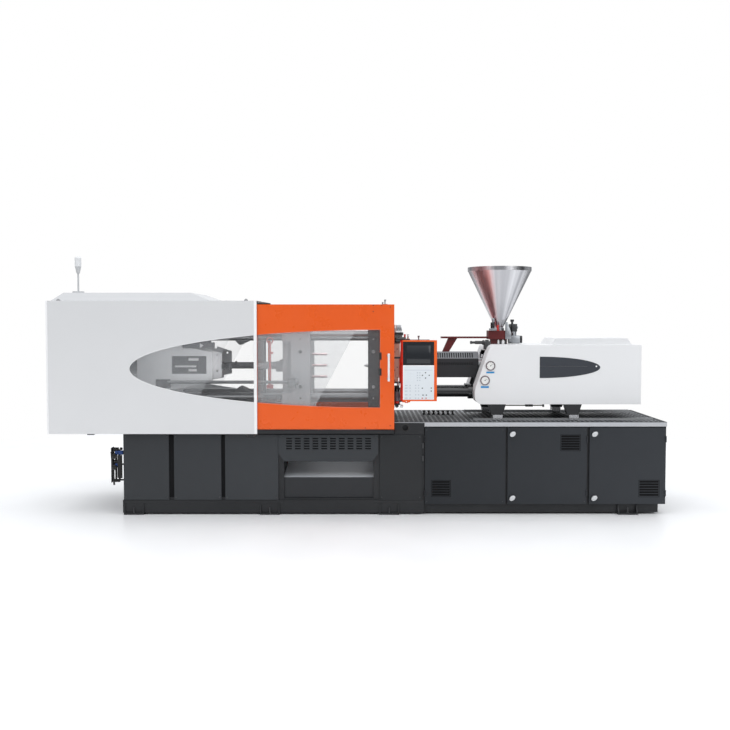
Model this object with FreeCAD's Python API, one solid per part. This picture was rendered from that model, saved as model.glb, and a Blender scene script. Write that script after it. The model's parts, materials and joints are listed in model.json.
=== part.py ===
import FreeCAD, Part
import math
import os

# Horizontal injection moulding machine: toggle clamp at -X, screw injection unit at +X.
# Millimetres. +Z up, X along the machine, Y across it with the operator at -Y.
# The origin is on the floor, under the middle of the whole machine.

V = FreeCAD.Vector

# ---- overall places along X ----
MACHINE_HALF_LENGTH = 2636.0   # guard end at the left, deck end at the right
BED_LEFT = -2009.0
BED_SPLIT = 564.0              # clamp bed ends, injection bed begins
BED_HALF_WIDTH = 550.0         # outer faces of the cladding panels
AXIS_HEIGHT = 1255.0           # clamp and barrel axis above the floor

# ---- beds ----
PLINTH_BOTTOM = 15.0
CLAMP_PLINTH_TOP = 125.0
INJECTION_PLINTH_TOP = 88.0
CLAMP_BED_TOP = 690.0
BED_WALL = 12.0
PANEL_THICKNESS = 4.0
PANEL_RECESS = 12.0            # cladding stands proud of the welded bed by this much
FOOT_LENGTH = 170.0
FOOT_HEIGHT = 95.0
FOOT_PLATE = 15.0
FOOT_GUSSET = 12.0
FOOT_CENTRES = (-1921.0, -757.0, 266.0, 2309.0)
CHUTE_LEFT = -636.0
CHUTE_RIGHT = 132.0
CHUTE_BOTTOM = 140.0
CHUTE_TOP = 455.0
FRAME_HALF = 10.0              # half thickness of the bed's cross frames
FRAME_SETBACK = 2.0            # cross frames beside the chute stand back from its opening
WAY_WIDTH = 90.0
WAY_THICKNESS = 12.0
WAY_OFFSET = 300.0             # clamp ways, centre to machine centre

# ---- injection cabinet ----
DECK_TOP = 796.0
CABINET_TOP = DECK_TOP - 43.0
DECK_LEFT = 307.0
DECK_THICKNESS = 6.0
DECK_EDGE = 38.0
CABLE_HOLE_X = 402.0            # in the beam left of the cabinet
CABLE_HOLE_Z = 748.0
CABLE_HOLE_RADIUS = 31.0
DOOR_THICKNESS = 20.0
DOOR_SEAT = 0.4                # door back to the cabinet front
DOOR_GAP = 3.0
CABINET_DOORS = (              # left edge, right edge, hinge side, lock knobs
    (567.0, 1262.0, "left", False),
    (1274.0, 1958.0, "right", True),
    (1974.0, 2630.0, "right", True),
)
LOCK_RADIUS = 21.0
LOCK_INSET = 42.0
LOCK_DROP = 58.0
HINGE_PIN_RADIUS = 5.0
KNUCKLE_RADIUS = 6.0
KNUCKLE_LENGTH = 36.0
KNUCKLE_PIN = 3.0
KNUCKLE_HEIGHTS = (185.0, 650.0)
SHAFT_PLAY = 0.05              # running fit, radial

# ---- platens and tie bars ----
PLATEN_HALF = 370.0
TIE_SPACING = 540.0
TIE_RADIUS = 40.0
TIE_LEFT = -2120.0
FIXED_FACE = 86.0
FIXED_THICKNESS = 200.0
MOVING_FACE = -421.0
MOVING_SLAB = 165.0
MOVING_DEPTH = 244.0
REAR_FACE = -1640.0
REAR_BACK = -1931.0
REAR_HALF = 345.0
CHEEK_FRONT = -1274.0          # stiffening cheeks beside the toggle end here
NUT_LENGTH = 78.0
NUT_RADIUS = 68.0
SHOE_LENGTH = 260.0
LOCATING_RADIUS = 62.5
LOCATING_DEPTH = 20.0
MOULD_BOLT_SPACING = 350.0
MOULD_BOLT_RADIUS = 8.0
MOULD_BOLT_DEPTH = 40.0

# ---- toggle ----
LINK_LENGTH = 260.0            # rear and front links alike
PIVOT_HEIGHT = 302.0           # rear and front pivots above and below the axis
MOVING_PIVOT_BACK = 60.0       # pivot behind the moving platen
LINK_PIN_RADIUS = 24.0
LINK_HALF_HEIGHT = 40.0
DRIVE_ARM = 200.0              # third pivot from the rear pivot
DRIVE_ANGLE = 25.0             # degrees to the inner side of the rear link
DRIVE_PIN_RADIUS = 15.0
DRIVE_LUG_RADIUS = 30.0
EAR_HALF = 30.0                # middle layer: rear ear, front link
CHEEK_GAP = 3.0                # side play between link layers
CHEEK_WIDTH = 30.0
SMALL_WIDTH = 25.0
ARM_WIDTH = 30.0
CROSS_HALF_LENGTH = 30.0
CROSS_BLOCK_HALF = 45.0
ROD_RADIUS = 30.0
CYLINDER_RADIUS = 85.0
CYLINDER_WALL = 15.0
CYLINDER_LENGTH = 560.0
CYLINDER_CAP = 30.0

# ---- ejector ----
EJECTOR_RADIUS = 12.0
EJECTOR_REACH = 136.0
EJECTOR_PITCH = 102.0
EJECTOR_PLATE = 30.0
EJECTOR_GAP = 10.0
EJECTOR_HALF_Y = 190.0
EJECTOR_HALF_Z = 140.0
EJECTOR_POCKET = 55.0          # how deep the ejector plate sits in the back of the slab
EJECTOR_CYLINDER_Y = 155.0
EJECTOR_CYLINDER_RADIUS = 26.0
EJECTOR_CYLINDER_WALL = 6.0
EJECTOR_CYLINDER_LENGTH = 188.0
EJECTOR_ROD_RADIUS = 9.0
EJECTOR_PISTON = 20.0

# ---- guards and doors ----
GUARD_FACE = 605.0
GUARD_SHEET = 4.0
GUARD_BOTTOM = 700.0
GUARD_TOP = 1829.0
GUARD_RIGHT = -856.0
WINDOW_CENTRE_X = 186.0        # both windows share one long half ellipse
WINDOW_CENTRE_Z = 1253.5
WINDOW_LONG = 2123.0
WINDOW_SHORT = 332.0
WINDOW_STRIP = 25.0
PANE_THICKNESS = 5.0
PANE_LAP = 14.0
ROOF_RISE = 72.0
DOOR_FACE = 590.0
DOOR_DEPTH = 28.0
DOOR_RIGHT = 306.0
DOOR_BOTTOM = 738.0
DOOR_TOP = 1798.0
HANDLE_X = 258.0
HANDLE_LOW = 1150.0
HANDLE_HIGH = 1385.0
HANDLE_RADIUS = 9.0
HANDLE_STANDOFF = 55.0
RAIL_DEPTH = 20.0
RAIL_HEIGHT = 40.0
BEACON_X = -2438.0
BEACON_Y = -330.0
BEACON_POLE = 170.0            # length of the stem above the roof

# ---- injection unit ----
NOZZLE_TIP = 52.0
BARREL_START = 330.0
BARREL_END = 1340.0
BARREL_RADIUS = 62.0
SCREW_RADIUS = 25.0
SCREW_CORE = 17.0
BAND_RADIUS = 72.0
SHROUD_LEFT = 380.0
SHROUD_RIGHT = 1075.0
SHROUD_HALF = 122.0
SHROUD_BOTTOM = 1153.0
SHROUD_TOP = 1380.0
SHROUD_SHEET = 3.0
SHROUD_LEAN = 40.0              # the shoulders lean in by this much
SHROUD_DROP = 58.0              # and over this height
SLOT_PITCH = 20.5
SLOT_WIDTH = 11.0
RAIL_OFFSET = 385.0
RAIL_WIDTH = 34.0
RAIL_TOP = DECK_TOP + 19.0
BLOCK_TOP = DECK_TOP + 49.0     # bearing blocks, and the pedestals standing on them
HOUSING_LEFT = 1155.0
HOUSING_RIGHT = 1345.0
HOUSING_HALF = 330.0
HOUSING_TOP = 1432.0
HOUSING_BOTTOM = 940.0
TAIL_LEFT = 2200.0
TAIL_RIGHT = 2320.0
GUIDE_RADIUS = 30.0
GUIDE_Y = 240.0
DRIVE_LEFT = 1500.0
DRIVE_PLATE = 110.0
COVER_LEFT = 1014.0
COVER_RIGHT = 2460.0
COVER_HALF = 380.0
COVER_BOTTOM = 933.0
COVER_TOP = 1450.0
COVER_SHEET = 4.0
COVER_HUMP = 55.0
COVER_SHOULDER = 1058.0         # the nose leans back above this height
COVER_RAKE = 135.0
COVER_FOOT_RADIUS = 65.0
COVER_SHOULDER_RADIUS = 160.0
COVER_BROW_RADIUS = 55.0
HUMP_LEFT = 1695.0
HUMP_RIGHT = 2410.0
HUMP_RAKE = 42.0
PULL_HEIGHT = 1024.0           # nozzle contact cylinders
PULL_Y = 150.0
PULL_RADIUS = 43.5
PULL_ROD_RADIUS = 20.0
PULL_LEFT = 675.0
PULL_RIGHT = 1037.0
PURGE_WIDTH = 48.0
PURGE_SHEET = 4.0
PURGE_HALF = 172.0
PURGE_ROD_Y = 180.0
PURGE_ROD_RADIUS = 8.0
PURGE_TRAVEL = 300.0
PURGE_ROD_Z = 1478.0

# ---- hopper ----
HOPPER_X = 1275.0
HOPPER_RIM_Z = 2140.0
HOPPER_RIM_RADIUS = 286.5
HOPPER_RIM_BAND = 35.0
HOPPER_MOUTH_Z = 1582.0
HOPPER_MOUTH_RADIUS = 28.5
HOPPER_SHEET = 3.0
FEED_RADIUS = 20.0             # feed throat from the hopper down to the screw
SLIDE_LEFT = 1169.0
SLIDE_RIGHT = 1355.0
SLIDE_BOTTOM = 1493.0
SLIDE_TOP = 1571.0
BAR_LEFT = 747.0
BAR_BOTTOM = 1501.0
BAR_TOP = 1517.0
BAR_HALF = 45.0

# ---- operator panel ----
PANEL_LEFT = 358.0
PANEL_FACE_LEFT = 369.0         # the left flank leans in to here
PANEL_CHEEK = 32.0              # straight part of the left flank, clear of the door as the panel swings
PANEL_RIGHT = 664.0
PANEL_BOTTOM = 982.0
PANEL_TOP = 1496.0
PANEL_FRONT = 636.0
PANEL_DEPTH = 90.0
SCREEN_HEIGHT = 199.0
PIVOT_SETBACK = 18.0            # swing axis behind the panel back
SCREEN_LEFT = 377.0
SCREEN_RIGHT = 640.0
STOP_X = 511.0                  # stop knob on the panel top
STOP_SHAFT = 5.0
POST_X = 272.0                  # guard post behind the door stile
POST_HALF = 12.0
PIVOT_X = 364.0                 # swing axis of the operator panel


def box(x0, x1, y0, y1, z0, z1):
    return Part.makeBox(x1 - x0, y1 - y0, z1 - z0, V(x0, y0, z0))


def rod_x(x0, x1, y, z, radius):
    return Part.makeCylinder(radius, x1 - x0, V(x0, y, z), V(1, 0, 0))


def rod_y(y0, y1, x, z, radius):
    return Part.makeCylinder(radius, y1 - y0, V(x, y0, z), V(0, 1, 0))


def rod_z(z0, z1, x, y, radius):
    return Part.makeCylinder(radius, z1 - z0, V(x, y, z0), V(0, 0, 1))


def cone_x(x0, x1, y, z, r0, r1):
    return Part.makeCone(r0, r1, x1 - x0, V(x0, y, z), V(1, 0, 0))


def cone_z(z0, z1, x, y, r0, r1):
    return Part.makeCone(r0, r1, z1 - z0, V(x, y, z0), V(0, 0, 1))


def prism(points, direction):
    """Extrude the closed outline through points along direction."""
    corners = [V(*p) for p in points]
    face = Part.Face(Part.makePolygon(corners + corners[:1]))
    return face.extrude(V(*direction))


def plate_xz(points, y0, y1):
    return prism([(x, y0, z) for x, z in points], (0, y1 - y0, 0))


def plate_xy(points, z0, z1):
    return prism([(x, y, z0) for x, y in points], (0, 0, z1 - z0))


def plate_yz(points, x0, x1):
    return prism([(x0, y, z) for y, z in points], (x1 - x0, 0, 0))


def join(first, *others):
    return first.fuse(list(others)).removeSplitter() if others else first


def cut(shape, *tools):
    return shape.cut(Part.makeCompound(list(tools)))


def mirror_y(shape):
    return shape.mirror(V(0, 0, 0), V(0, 1, 0))


def mirror_axis(shape):
    """The lower twin of a piece above the clamp axis."""
    return shape.mirror(V(0, 0, AXIS_HEIGHT), V(0, 0, 1))


def both_sides(shape):
    return [shape, mirror_y(shape)]


def welded(first, *others):
    """Pieces set against each other: each is cut back to the ones before it."""
    placed = [first]
    for shape in others:
        placed.append(cut(shape, *placed))
    return placed


def cut_each(shapes, *tools):
    return [cut(shape, *tools) for shape in shapes]


def solids_of(shapes):
    return [solid for shape in shapes for solid in shape.Solids]


def save(name, *shapes):
    solids = solids_of(shapes)
    shape = solids[0] if len(solids) == 1 else Part.makeCompound(solids)
    shape.exportStep(os.path.join("parts", name + ".step"))


def stadium(xa, za, xb, zb, half, y0, y1):
    """A link blank: a bar with round ends, from (xa, za) to (xb, zb)."""
    run = math.hypot(xb - xa, zb - za)
    ux = (xb - xa) / run
    uz = (zb - za) / run
    corners = [(xa - uz * half, za + ux * half), (xb - uz * half, zb + ux * half),
               (xb + uz * half, zb - ux * half), (xa + uz * half, za - ux * half)]
    return join(plate_xz(corners, y0, y1), rod_y(y0, y1, xa, za, half), rod_y(y0, y1, xb, zb, half))


# ---------------------------------------------------------------- beds

def bed_plates(x0, x1, bottom, top):
    """The six plates of a closed box bed; its top plate is twice as thick."""
    half = BED_HALF_WIDTH - PANEL_RECESS
    wall = BED_WALL
    return [box(x0, x1, -half, half, top - 2 * wall, top), box(x0, x1, -half, half, bottom, bottom + wall),
            box(x0, x1, -half, -half + wall, bottom, top), box(x0, x1, half - wall, half, bottom, top),
            box(x0, x0 + wall, -half, half, bottom, top), box(x1 - wall, x1, -half, half, bottom, top)]


def plinth(x0, x1, top, half):
    return box(x0, x1, -half, half, PLINTH_BOTTOM, top)


def clamp_bed():
    half = BED_HALF_WIDTH
    plates = bed_plates(BED_LEFT, BED_SPLIT, CLAMP_PLINTH_TOP, CLAMP_BED_TOP)
    skid = plinth(BED_LEFT - 8.0, BED_SPLIT, CLAMP_PLINTH_TOP, half - 4.0)
    skid = cut(skid, box(BED_LEFT + 60.0, BED_SPLIT - 60.0, -half + 90.0, half - 90.0, 0.0, 113.0))
    fall = WAY_OFFSET - WAY_WIDTH / 2 - 20.0
    drop = box(CHUTE_LEFT, FIXED_FACE - 20.0, -fall, fall, CHUTE_TOP, CLAMP_BED_TOP + 10.0)
    through = box(CHUTE_LEFT, CHUTE_RIGHT, -half, half - 140.0, CHUTE_BOTTOM, CHUTE_TOP)
    beside = FRAME_HALF + FRAME_SETBACK
    frames = [box(x - FRAME_HALF, x + FRAME_HALF, -half + 30.0, half - 30.0, CLAMP_PLINTH_TOP + 5.0,
                  CLAMP_BED_TOP - 5.0)
              for x in (-1596.0, -1156.0, CHUTE_LEFT - beside, CHUTE_RIGHT + beside)]
    return cut_each(welded(skid, *plates, *frames), drop, through)


def cladding():
    """Folded covers screwed to the beds: front and rear of both beds, and the right end."""
    outer = BED_HALF_WIDTH
    inner = outer - PANEL_RECESS
    places = [(BED_LEFT + 2.0, -1618.0, 128.0), (-1575.0, -1171.0, 128.0),
              (-1138.0, -684.0, 128.0), (186.0, 543.0, 108.0)]
    fronts = [box(x0, x1, -outer, -inner, max(z0, CLAMP_PLINTH_TOP + 1.0), CLAMP_BED_TOP - 2.0)
              for x0, x1, z0 in places]
    rears = [mirror_y(panel) for panel in fronts]
    rears += [box(x0, x1, inner, outer, INJECTION_PLINTH_TOP + 1.0, CABINET_TOP)
              for x0, x1, side, locks in CABINET_DOORS]
    return fronts + rears


def louvre_panel():
    """The vent cover over the drop chute, with its two lower corners cut off."""
    x0, x1, z0, z1, drop, step = -682.0, 173.0, 462.0, 688.0, 64.0, 50.0
    outline = [(x0, z1), (x1, z1), (x1, z0 + drop), (x1 - step, z0), (x0 + step, z0), (x0, z0 + drop)]
    plate = plate_xz(outline, -BED_HALF_WIDTH - 4.0, -BED_HALF_WIDTH + PANEL_RECESS)
    pitch_x, pitch_z, wide, high = 75.0, 21.7, 50.0, 12.0
    slots = [box(-616.0 + i * pitch_x, -616.0 + i * pitch_x + wide, -600.0, -500.0,
                 562.0 + j * pitch_z, 562.0 + j * pitch_z + high) for i in range(10) for j in range(5)]
    return cut(plate, *slots)


def drop_chute():
    """Sloping plate under the mould that throws the mouldings to the front, and its apron."""
    lean = [(-520.0, 305.0), (-520.0, 317.0), (400.0, 450.0), (400.0, 438.0)]
    x0 = CHUTE_LEFT - FRAME_SETBACK
    x1 = CHUTE_RIGHT + FRAME_SETBACK
    slope = plate_yz(lean, x0, x1)
    apron = box(x0, x1, -520.0, -508.0, CHUTE_BOTTOM, 310.0)
    return join(slope, apron)


def foot(x):
    """Levelling foot: a plate under the skid with two gussets up its side."""
    outer = BED_HALF_WIDTH + 12.0
    wall = BED_HALF_WIDTH - (4.0 if x < BED_SPLIT else 30.0)
    plate = box(x - FOOT_LENGTH / 2, x + FOOT_LENGTH / 2, -outer, -wall + 90.0, 0.0, FOOT_PLATE)
    rise = FOOT_HEIGHT if x < BED_SPLIT else INJECTION_PLINTH_TOP
    outline = [(-outer, FOOT_PLATE), (-wall, FOOT_PLATE), (-wall, rise), (-wall - 6.0, rise),
               (-outer, FOOT_PLATE + 12.0)]
    gussets = [plate_yz(outline, x + side * (FOOT_LENGTH / 2 - FOOT_GUSSET / 2) - FOOT_GUSSET / 2,
                        x + side * (FOOT_LENGTH / 2 - FOOT_GUSSET / 2) + FOOT_GUSSET / 2)
               for side in (-1, 1)]
    return join(plate, *gussets)


def feet():
    return [twin for x in FOOT_CENTRES for twin in both_sides(foot(x))]


def injection_bed():
    half = BED_HALF_WIDTH
    recess = half - DOOR_THICKNESS - DOOR_SEAT
    shell = box(BED_SPLIT, MACHINE_HALF_LENGTH, -recess, half - PANEL_RECESS, INJECTION_PLINTH_TOP,
                CABINET_TOP + 4.0)
    hollow = box(BED_SPLIT + BED_WALL, MACHINE_HALF_LENGTH - BED_WALL, -recess - 50.0,
                 half - PANEL_RECESS - BED_WALL, INJECTION_PLINTH_TOP + BED_WALL, CABINET_TOP - 60.0)
    posts = [box(x0 - 26.0, x0 + 8.0, -recess, -recess + 60.0, INJECTION_PLINTH_TOP, CABINET_TOP)
             for x0, x1, side, locks in CABINET_DOORS[1:]]
    ends = [box(BED_SPLIT, BED_SPLIT + 30.0, -recess, -recess + 60.0, INJECTION_PLINTH_TOP, CABINET_TOP),
            box(MACHINE_HALF_LENGTH - 30.0, MACHINE_HALF_LENGTH, -recess, -recess + 60.0,
                INJECTION_PLINTH_TOP, CABINET_TOP)]
    skid = plinth(BED_SPLIT, MACHINE_HALF_LENGTH - 60.0, INJECTION_PLINTH_TOP, half - 30.0)
    skid = cut(skid, box(BED_SPLIT + 60.0, MACHINE_HALF_LENGTH - 120.0, -half + 120.0, half - 120.0,
                         0.0, INJECTION_PLINTH_TOP - 12.0))
    tongues = [piece for index in range(len(CABINET_DOORS)) for piece in hinge_tongues(index)]
    return join(cut(shell, hollow), skid, *posts, *ends, *deck_bearers(), *tongues)


def deck_plate():
    """Tread plate over the cabinet, folded down along its sides and tail."""
    half = BED_HALF_WIDTH + 1.0
    low = DECK_TOP - DECK_EDGE
    edge = DECK_TOP - DECK_THICKNESS
    sheet = box(DECK_LEFT, MACHINE_HALF_LENGTH, -half, half, edge, DECK_TOP)
    folds = [box(BED_SPLIT + 2.0, MACHINE_HALF_LENGTH, -half, -half + DECK_THICKNESS, low, edge)]
    folds.append(mirror_y(folds[0]))
    folds.append(box(MACHINE_HALF_LENGTH - DECK_THICKNESS, MACHINE_HALF_LENGTH, -half, half, low, edge))
    return welded(sheet, *folds)


def deck_bearers():
    """Cross bearers that carry the deck on the cabinet."""
    half = BED_HALF_WIDTH - PANEL_RECESS - 20.0
    places = (620.0, 1180.0, 1840.0, 2480.0)
    return [box(x - 25.0, x + 25.0, -half, half, CABINET_TOP + 4.0, DECK_TOP - DECK_THICKNESS)
            for x in places]


def beam_block():
    """Box beam between the door sill and the cabinet, with a round cable hole."""
    inner = BED_HALF_WIDTH - PANEL_RECESS
    beam = box(DOOR_RIGHT + 4.0, BED_SPLIT - 2.0, -BED_HALF_WIDTH + 1.0, -inner + 60.0, CLAMP_BED_TOP,
               DECK_TOP - DECK_THICKNESS)
    hole = rod_y(-BED_HALF_WIDTH, -BED_HALF_WIDTH + 30.0, CABLE_HOLE_X, CABLE_HOLE_Z, CABLE_HOLE_RADIUS)
    return cut(beam, hole)


def cabinet_door(index):
    x0, x1, side, locks = CABINET_DOORS[index]
    x0 += DOOR_GAP
    x1 -= DOOR_GAP
    outer = BED_HALF_WIDTH
    low = INJECTION_PLINTH_TOP + DOOR_GAP
    high = CABINET_TOP - DOOR_GAP
    door = box(x0, x1, -outer, -outer + DOOR_THICKNESS, low, high)
    door = cut(door, box(x0 + 3.0, x1 - 3.0, -outer + 3.0, 0.0, low + 3.0, high - 3.0))
    for left, bottom, width, height in DOOR_VENTS[index]:
        rows = 6
        pitch = height / rows
        door = cut(door, *[box(left, left + width, -outer - 5.0, -outer + 10.0, bottom + row * pitch + 5.0,
                               bottom + (row + 1) * pitch - 5.0) for row in range(rows)])
    door = cut(join(door, *door_knuckles(index)), hinge_line(index, KNUCKLE_PIN + SHAFT_PLAY))
    if locks:
        for z in lock_heights():
            door = cut(door, rod_y(-outer - 5.0, -outer + 10.0, lock_x(index), z, 9.0 + SHAFT_PLAY))
    return door


DOOR_VENTS = (
    ((632.0, 159.0, 153.0, 132.0),),
    ((1735.0, 554.0, 158.0, 129.0),),
    ((2408.0, 157.0, 164.0, 136.0),),
)


def hinge_place(index):
    """Hinge line of a cabinet door, and the side of it that the door is on."""
    x0, x1, side, locks = CABINET_DOORS[index]
    y = -BED_HALF_WIDTH - KNUCKLE_RADIUS - 0.5
    return (x0 + DOOR_GAP, y, 1) if side == "left" else (x1 - DOOR_GAP, y, -1)


def hinge_line(index, radius):
    x, y, toward = hinge_place(index)
    reach = KNUCKLE_LENGTH / 2 + 8.0
    return Part.makeCompound([rod_z(z - reach, z + reach, x, y, radius) for z in KNUCKLE_HEIGHTS])


def door_knuckles(index):
    """Leaves screwed on the door, each with the middle knuckle of its hinge."""
    x, y, toward = hinge_place(index)
    half = KNUCKLE_LENGTH / 2
    pieces = []
    for z in KNUCKLE_HEIGHTS:
        ends = sorted((x, x + toward * 24.0))
        pieces.append(rod_z(z - half, z + half, x, y, KNUCKLE_RADIUS))
        pieces.append(box(ends[0], ends[1], -BED_HALF_WIDTH - 2.0, -BED_HALF_WIDTH + 0.5, z - half, z + half))
    return pieces


def hinge_tongues(index):
    """End knuckles and pins of a cabinet door's hinges, on tongues from the bed."""
    x, y, toward = hinge_place(index)
    near, far = KNUCKLE_LENGTH / 2 + 0.5, KNUCKLE_LENGTH / 2 + 8.0
    pieces = list(hinge_line(index, KNUCKLE_PIN).Solids)
    ends = sorted((x - toward * 2.0, x - toward * 6.0))
    for z in KNUCKLE_HEIGHTS:
        for low, high in ((z - far, z - near), (z + near, z + far)):
            pieces.append(rod_z(low, high, x, y, KNUCKLE_RADIUS))
            pieces.append(box(ends[0], ends[1], y, -BED_HALF_WIDTH + DOOR_THICKNESS + 5.0, low, high))
    return pieces


def lock_x(index):
    return CABINET_DOORS[index][0] + LOCK_INSET


def lock_heights():
    return (INJECTION_PLINTH_TOP + LOCK_DROP, CABINET_TOP - LOCK_DROP)


def door_lock(index, z):
    """Quarter-turn lock: a round head, its stem through the door and the cam behind it."""
    outer = BED_HALF_WIDTH
    x = lock_x(index)
    head = rod_y(-outer - 12.0, -outer - 0.3, x, z, LOCK_RADIUS)
    grip = box(x - 4.0, x + 4.0, -outer - 22.0, -outer - 12.0, z - 18.0, z + 18.0)
    stem = rod_y(-outer - 0.3, -outer + 14.0, x, z, 9.0)
    return join(head, grip, stem)


# ---------------------------------------------------------------- clamp

def tie_points():
    half = TIE_SPACING / 2
    return [(sy * half, AXIS_HEIGHT + sz * half) for sy in (-1, 1) for sz in (-1, 1)]


def tie_bores(x0, x1):
    return [rod_x(x0, x1, y, z, TIE_RADIUS + SHAFT_PLAY) for y, z in tie_points()]


def tie_bars():
    right = FIXED_FACE + FIXED_THICKNESS
    bars = [rod_x(TIE_LEFT, right + NUT_LENGTH + 20.0, y, z, TIE_RADIUS) for y, z in tie_points()]
    nuts = [cut(rod_x(right + 1.0, right + 1.0 + NUT_LENGTH, y, z, NUT_RADIUS),
                rod_x(right, right + NUT_LENGTH + 5.0, y, z, TIE_RADIUS)) for y, z in tie_points()]
    return bars + nuts


def mould_bolts(face, inward):
    half = MOULD_BOLT_SPACING / 2
    ends = sorted((face - inward * 5.0, face + inward * MOULD_BOLT_DEPTH))
    return [rod_x(ends[0], ends[1], sy * half, AXIS_HEIGHT + sz * half, MOULD_BOLT_RADIUS)
            for sy in (-1, 1) for sz in (-1, 1)]


def fixed_platen():
    x0 = FIXED_FACE
    x1 = FIXED_FACE + FIXED_THICKNESS
    low = AXIS_HEIGHT - PLATEN_HALF
    slab = box(x0, x1, -PLATEN_HALF, PLATEN_HALF, low, AXIS_HEIGHT + PLATEN_HALF)
    legs = [box(x0 + 20.0, x1, -PLATEN_HALF, -PLATEN_HALF + 190.0, CLAMP_BED_TOP, low + 40.0)]
    legs.append(mirror_y(legs[0]))
    locating = rod_x(x0 - 1.0, x0 + LOCATING_DEPTH, 0.0, AXIS_HEIGHT, LOCATING_RADIUS)
    throat = rod_x(x0, x1 + 1.0, 0.0, AXIS_HEIGHT, LOCATING_RADIUS - 7.5)
    flare = cone_x(x0 + 70.0, x1 + 1.0, 0.0, AXIS_HEIGHT, LOCATING_RADIUS - 7.5, 110.0)
    return cut(join(slab, *legs), locating, throat, flare, *tie_bores(x0 - 5.0, x1 + 5.0),
               *mould_bolts(x0, 1))


def shoes(x0, low):
    """Feet of a sliding platen, standing on the ways of the bed."""
    top = CLAMP_BED_TOP + WAY_THICKNESS
    half = WAY_WIDTH / 2
    shoe = box(x0, x0 + SHOE_LENGTH, -WAY_OFFSET - half, -WAY_OFFSET + half, top, low + 20.0)
    return both_sides(shoe)


def moving_platen():
    x1 = MOVING_FACE
    slab_back = x1 - MOVING_SLAB
    back = x1 - MOVING_DEPTH
    low = AXIS_HEIGHT - PLATEN_HALF
    high = AXIS_HEIGHT + PLATEN_HALF
    slab = box(slab_back, x1, -PLATEN_HALF, PLATEN_HALF, low, high)
    ribs = [box(back, slab_back, -PLATEN_HALF, PLATEN_HALF, AXIS_HEIGHT + z0, AXIS_HEIGHT + z1)
            for z0, z1 in ((-345.0, -225.0), (225.0, 345.0))]
    ribs += both_sides(box(back, slab_back, 205.0, 295.0, AXIS_HEIGHT - 230.0, AXIS_HEIGHT + 230.0))
    ears = [ear for upper in moving_ears(back) for ear in (upper, mirror_axis(upper))]
    body = welded(slab, *ears, *ribs, *shoes(back, low))
    holes = tie_bores(back - 5.0, x1 + 5.0) + mould_bolts(x1, -1)
    for y, z in ejector_places():
        holes.append(rod_x(back - 5.0, x1 + 5.0, y, z, EJECTOR_RADIUS + SHAFT_PLAY))
    margin = 10.0
    holes.append(box(slab_back - 1.0, slab_back + EJECTOR_POCKET, -EJECTOR_HALF_Y - margin,
                     EJECTOR_HALF_Y + margin, AXIS_HEIGHT - EJECTOR_HALF_Z - margin,
                     AXIS_HEIGHT + EJECTOR_HALF_Z + margin))
    return cut_each(body, *holes) + both_sides(ejector_cylinder(back))


def ejector_plate_front():
    return MOVING_FACE - MOVING_SLAB + EJECTOR_POCKET - EJECTOR_GAP


def ejector_cylinder(back):
    """Cylinder behind the ejector plate, on a bracket at the platen's back."""
    y = EJECTOR_CYLINDER_Y
    front = ejector_plate_front() - EJECTOR_PLATE - EJECTOR_REACH - 5.0
    rear = front - EJECTOR_CYLINDER_LENGTH
    tube = rod_x(rear, front, y, AXIS_HEIGHT, EJECTOR_CYLINDER_RADIUS)
    flange = box(front - 18.0, front, y - EJECTOR_CYLINDER_RADIUS, 225.0, AXIS_HEIGHT - 45.0,
                 AXIS_HEIGHT + 45.0)
    bracket = box(front - 18.0, back, 205.0, 225.0, AXIS_HEIGHT - 45.0, AXIS_HEIGHT + 45.0)
    bore = rod_x(rear + 12.0, front - 14.0, y, AXIS_HEIGHT, EJECTOR_CYLINDER_RADIUS - EJECTOR_CYLINDER_WALL)
    gland = rod_x(front - 15.0, front + 1.0, y, AXIS_HEIGHT, EJECTOR_ROD_RADIUS + SHAFT_PLAY)
    return cut(join(tube, flange, bracket), bore, gland)


def layer(index):
    """Inner and outer |Y| of a link layer: 1 cheeks, 2 small links, 3 crosshead arms."""
    edges = [EAR_HALF]
    for width in (CHEEK_WIDTH, SMALL_WIDTH, ARM_WIDTH):
        edges += [edges[-1] + CHEEK_GAP, edges[-1] + CHEEK_GAP + width]
    return edges[2 * index - 1], edges[2 * index]


def moving_pivot_x():
    return MOVING_FACE - MOVING_DEPTH - MOVING_PIVOT_BACK


def rear_pivot_x():
    return moving_pivot_x() - 2 * LINK_LENGTH


def pivot_z():
    return AXIS_HEIGHT + PIVOT_HEIGHT


def moving_ears(back):
    y0, y1 = layer(1)
    x = moving_pivot_x()
    ears = []
    for sign in (-1, 1):
        low, high = sorted((sign * y0, sign * y1))
        bar = stadium(x, pivot_z(), back + 10.0, pivot_z(), LINK_HALF_HEIGHT, low, high)
        bar = cut(bar, rod_y(low - 1.0, high + 1.0, x, pivot_z(), LINK_PIN_RADIUS + SHAFT_PLAY))
        ears.append(bar)
    return ears


def drive_pivot():
    """Third pivot of the upper rear link, from the rear pivot."""
    angle = math.radians(DRIVE_ANGLE)
    return rear_pivot_x() + DRIVE_ARM * math.cos(angle), pivot_z() - DRIVE_ARM * math.sin(angle)


def crosshead_x():
    return rear_pivot_x() + 2 * DRIVE_ARM * math.cos(math.radians(DRIVE_ANGLE))


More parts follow.
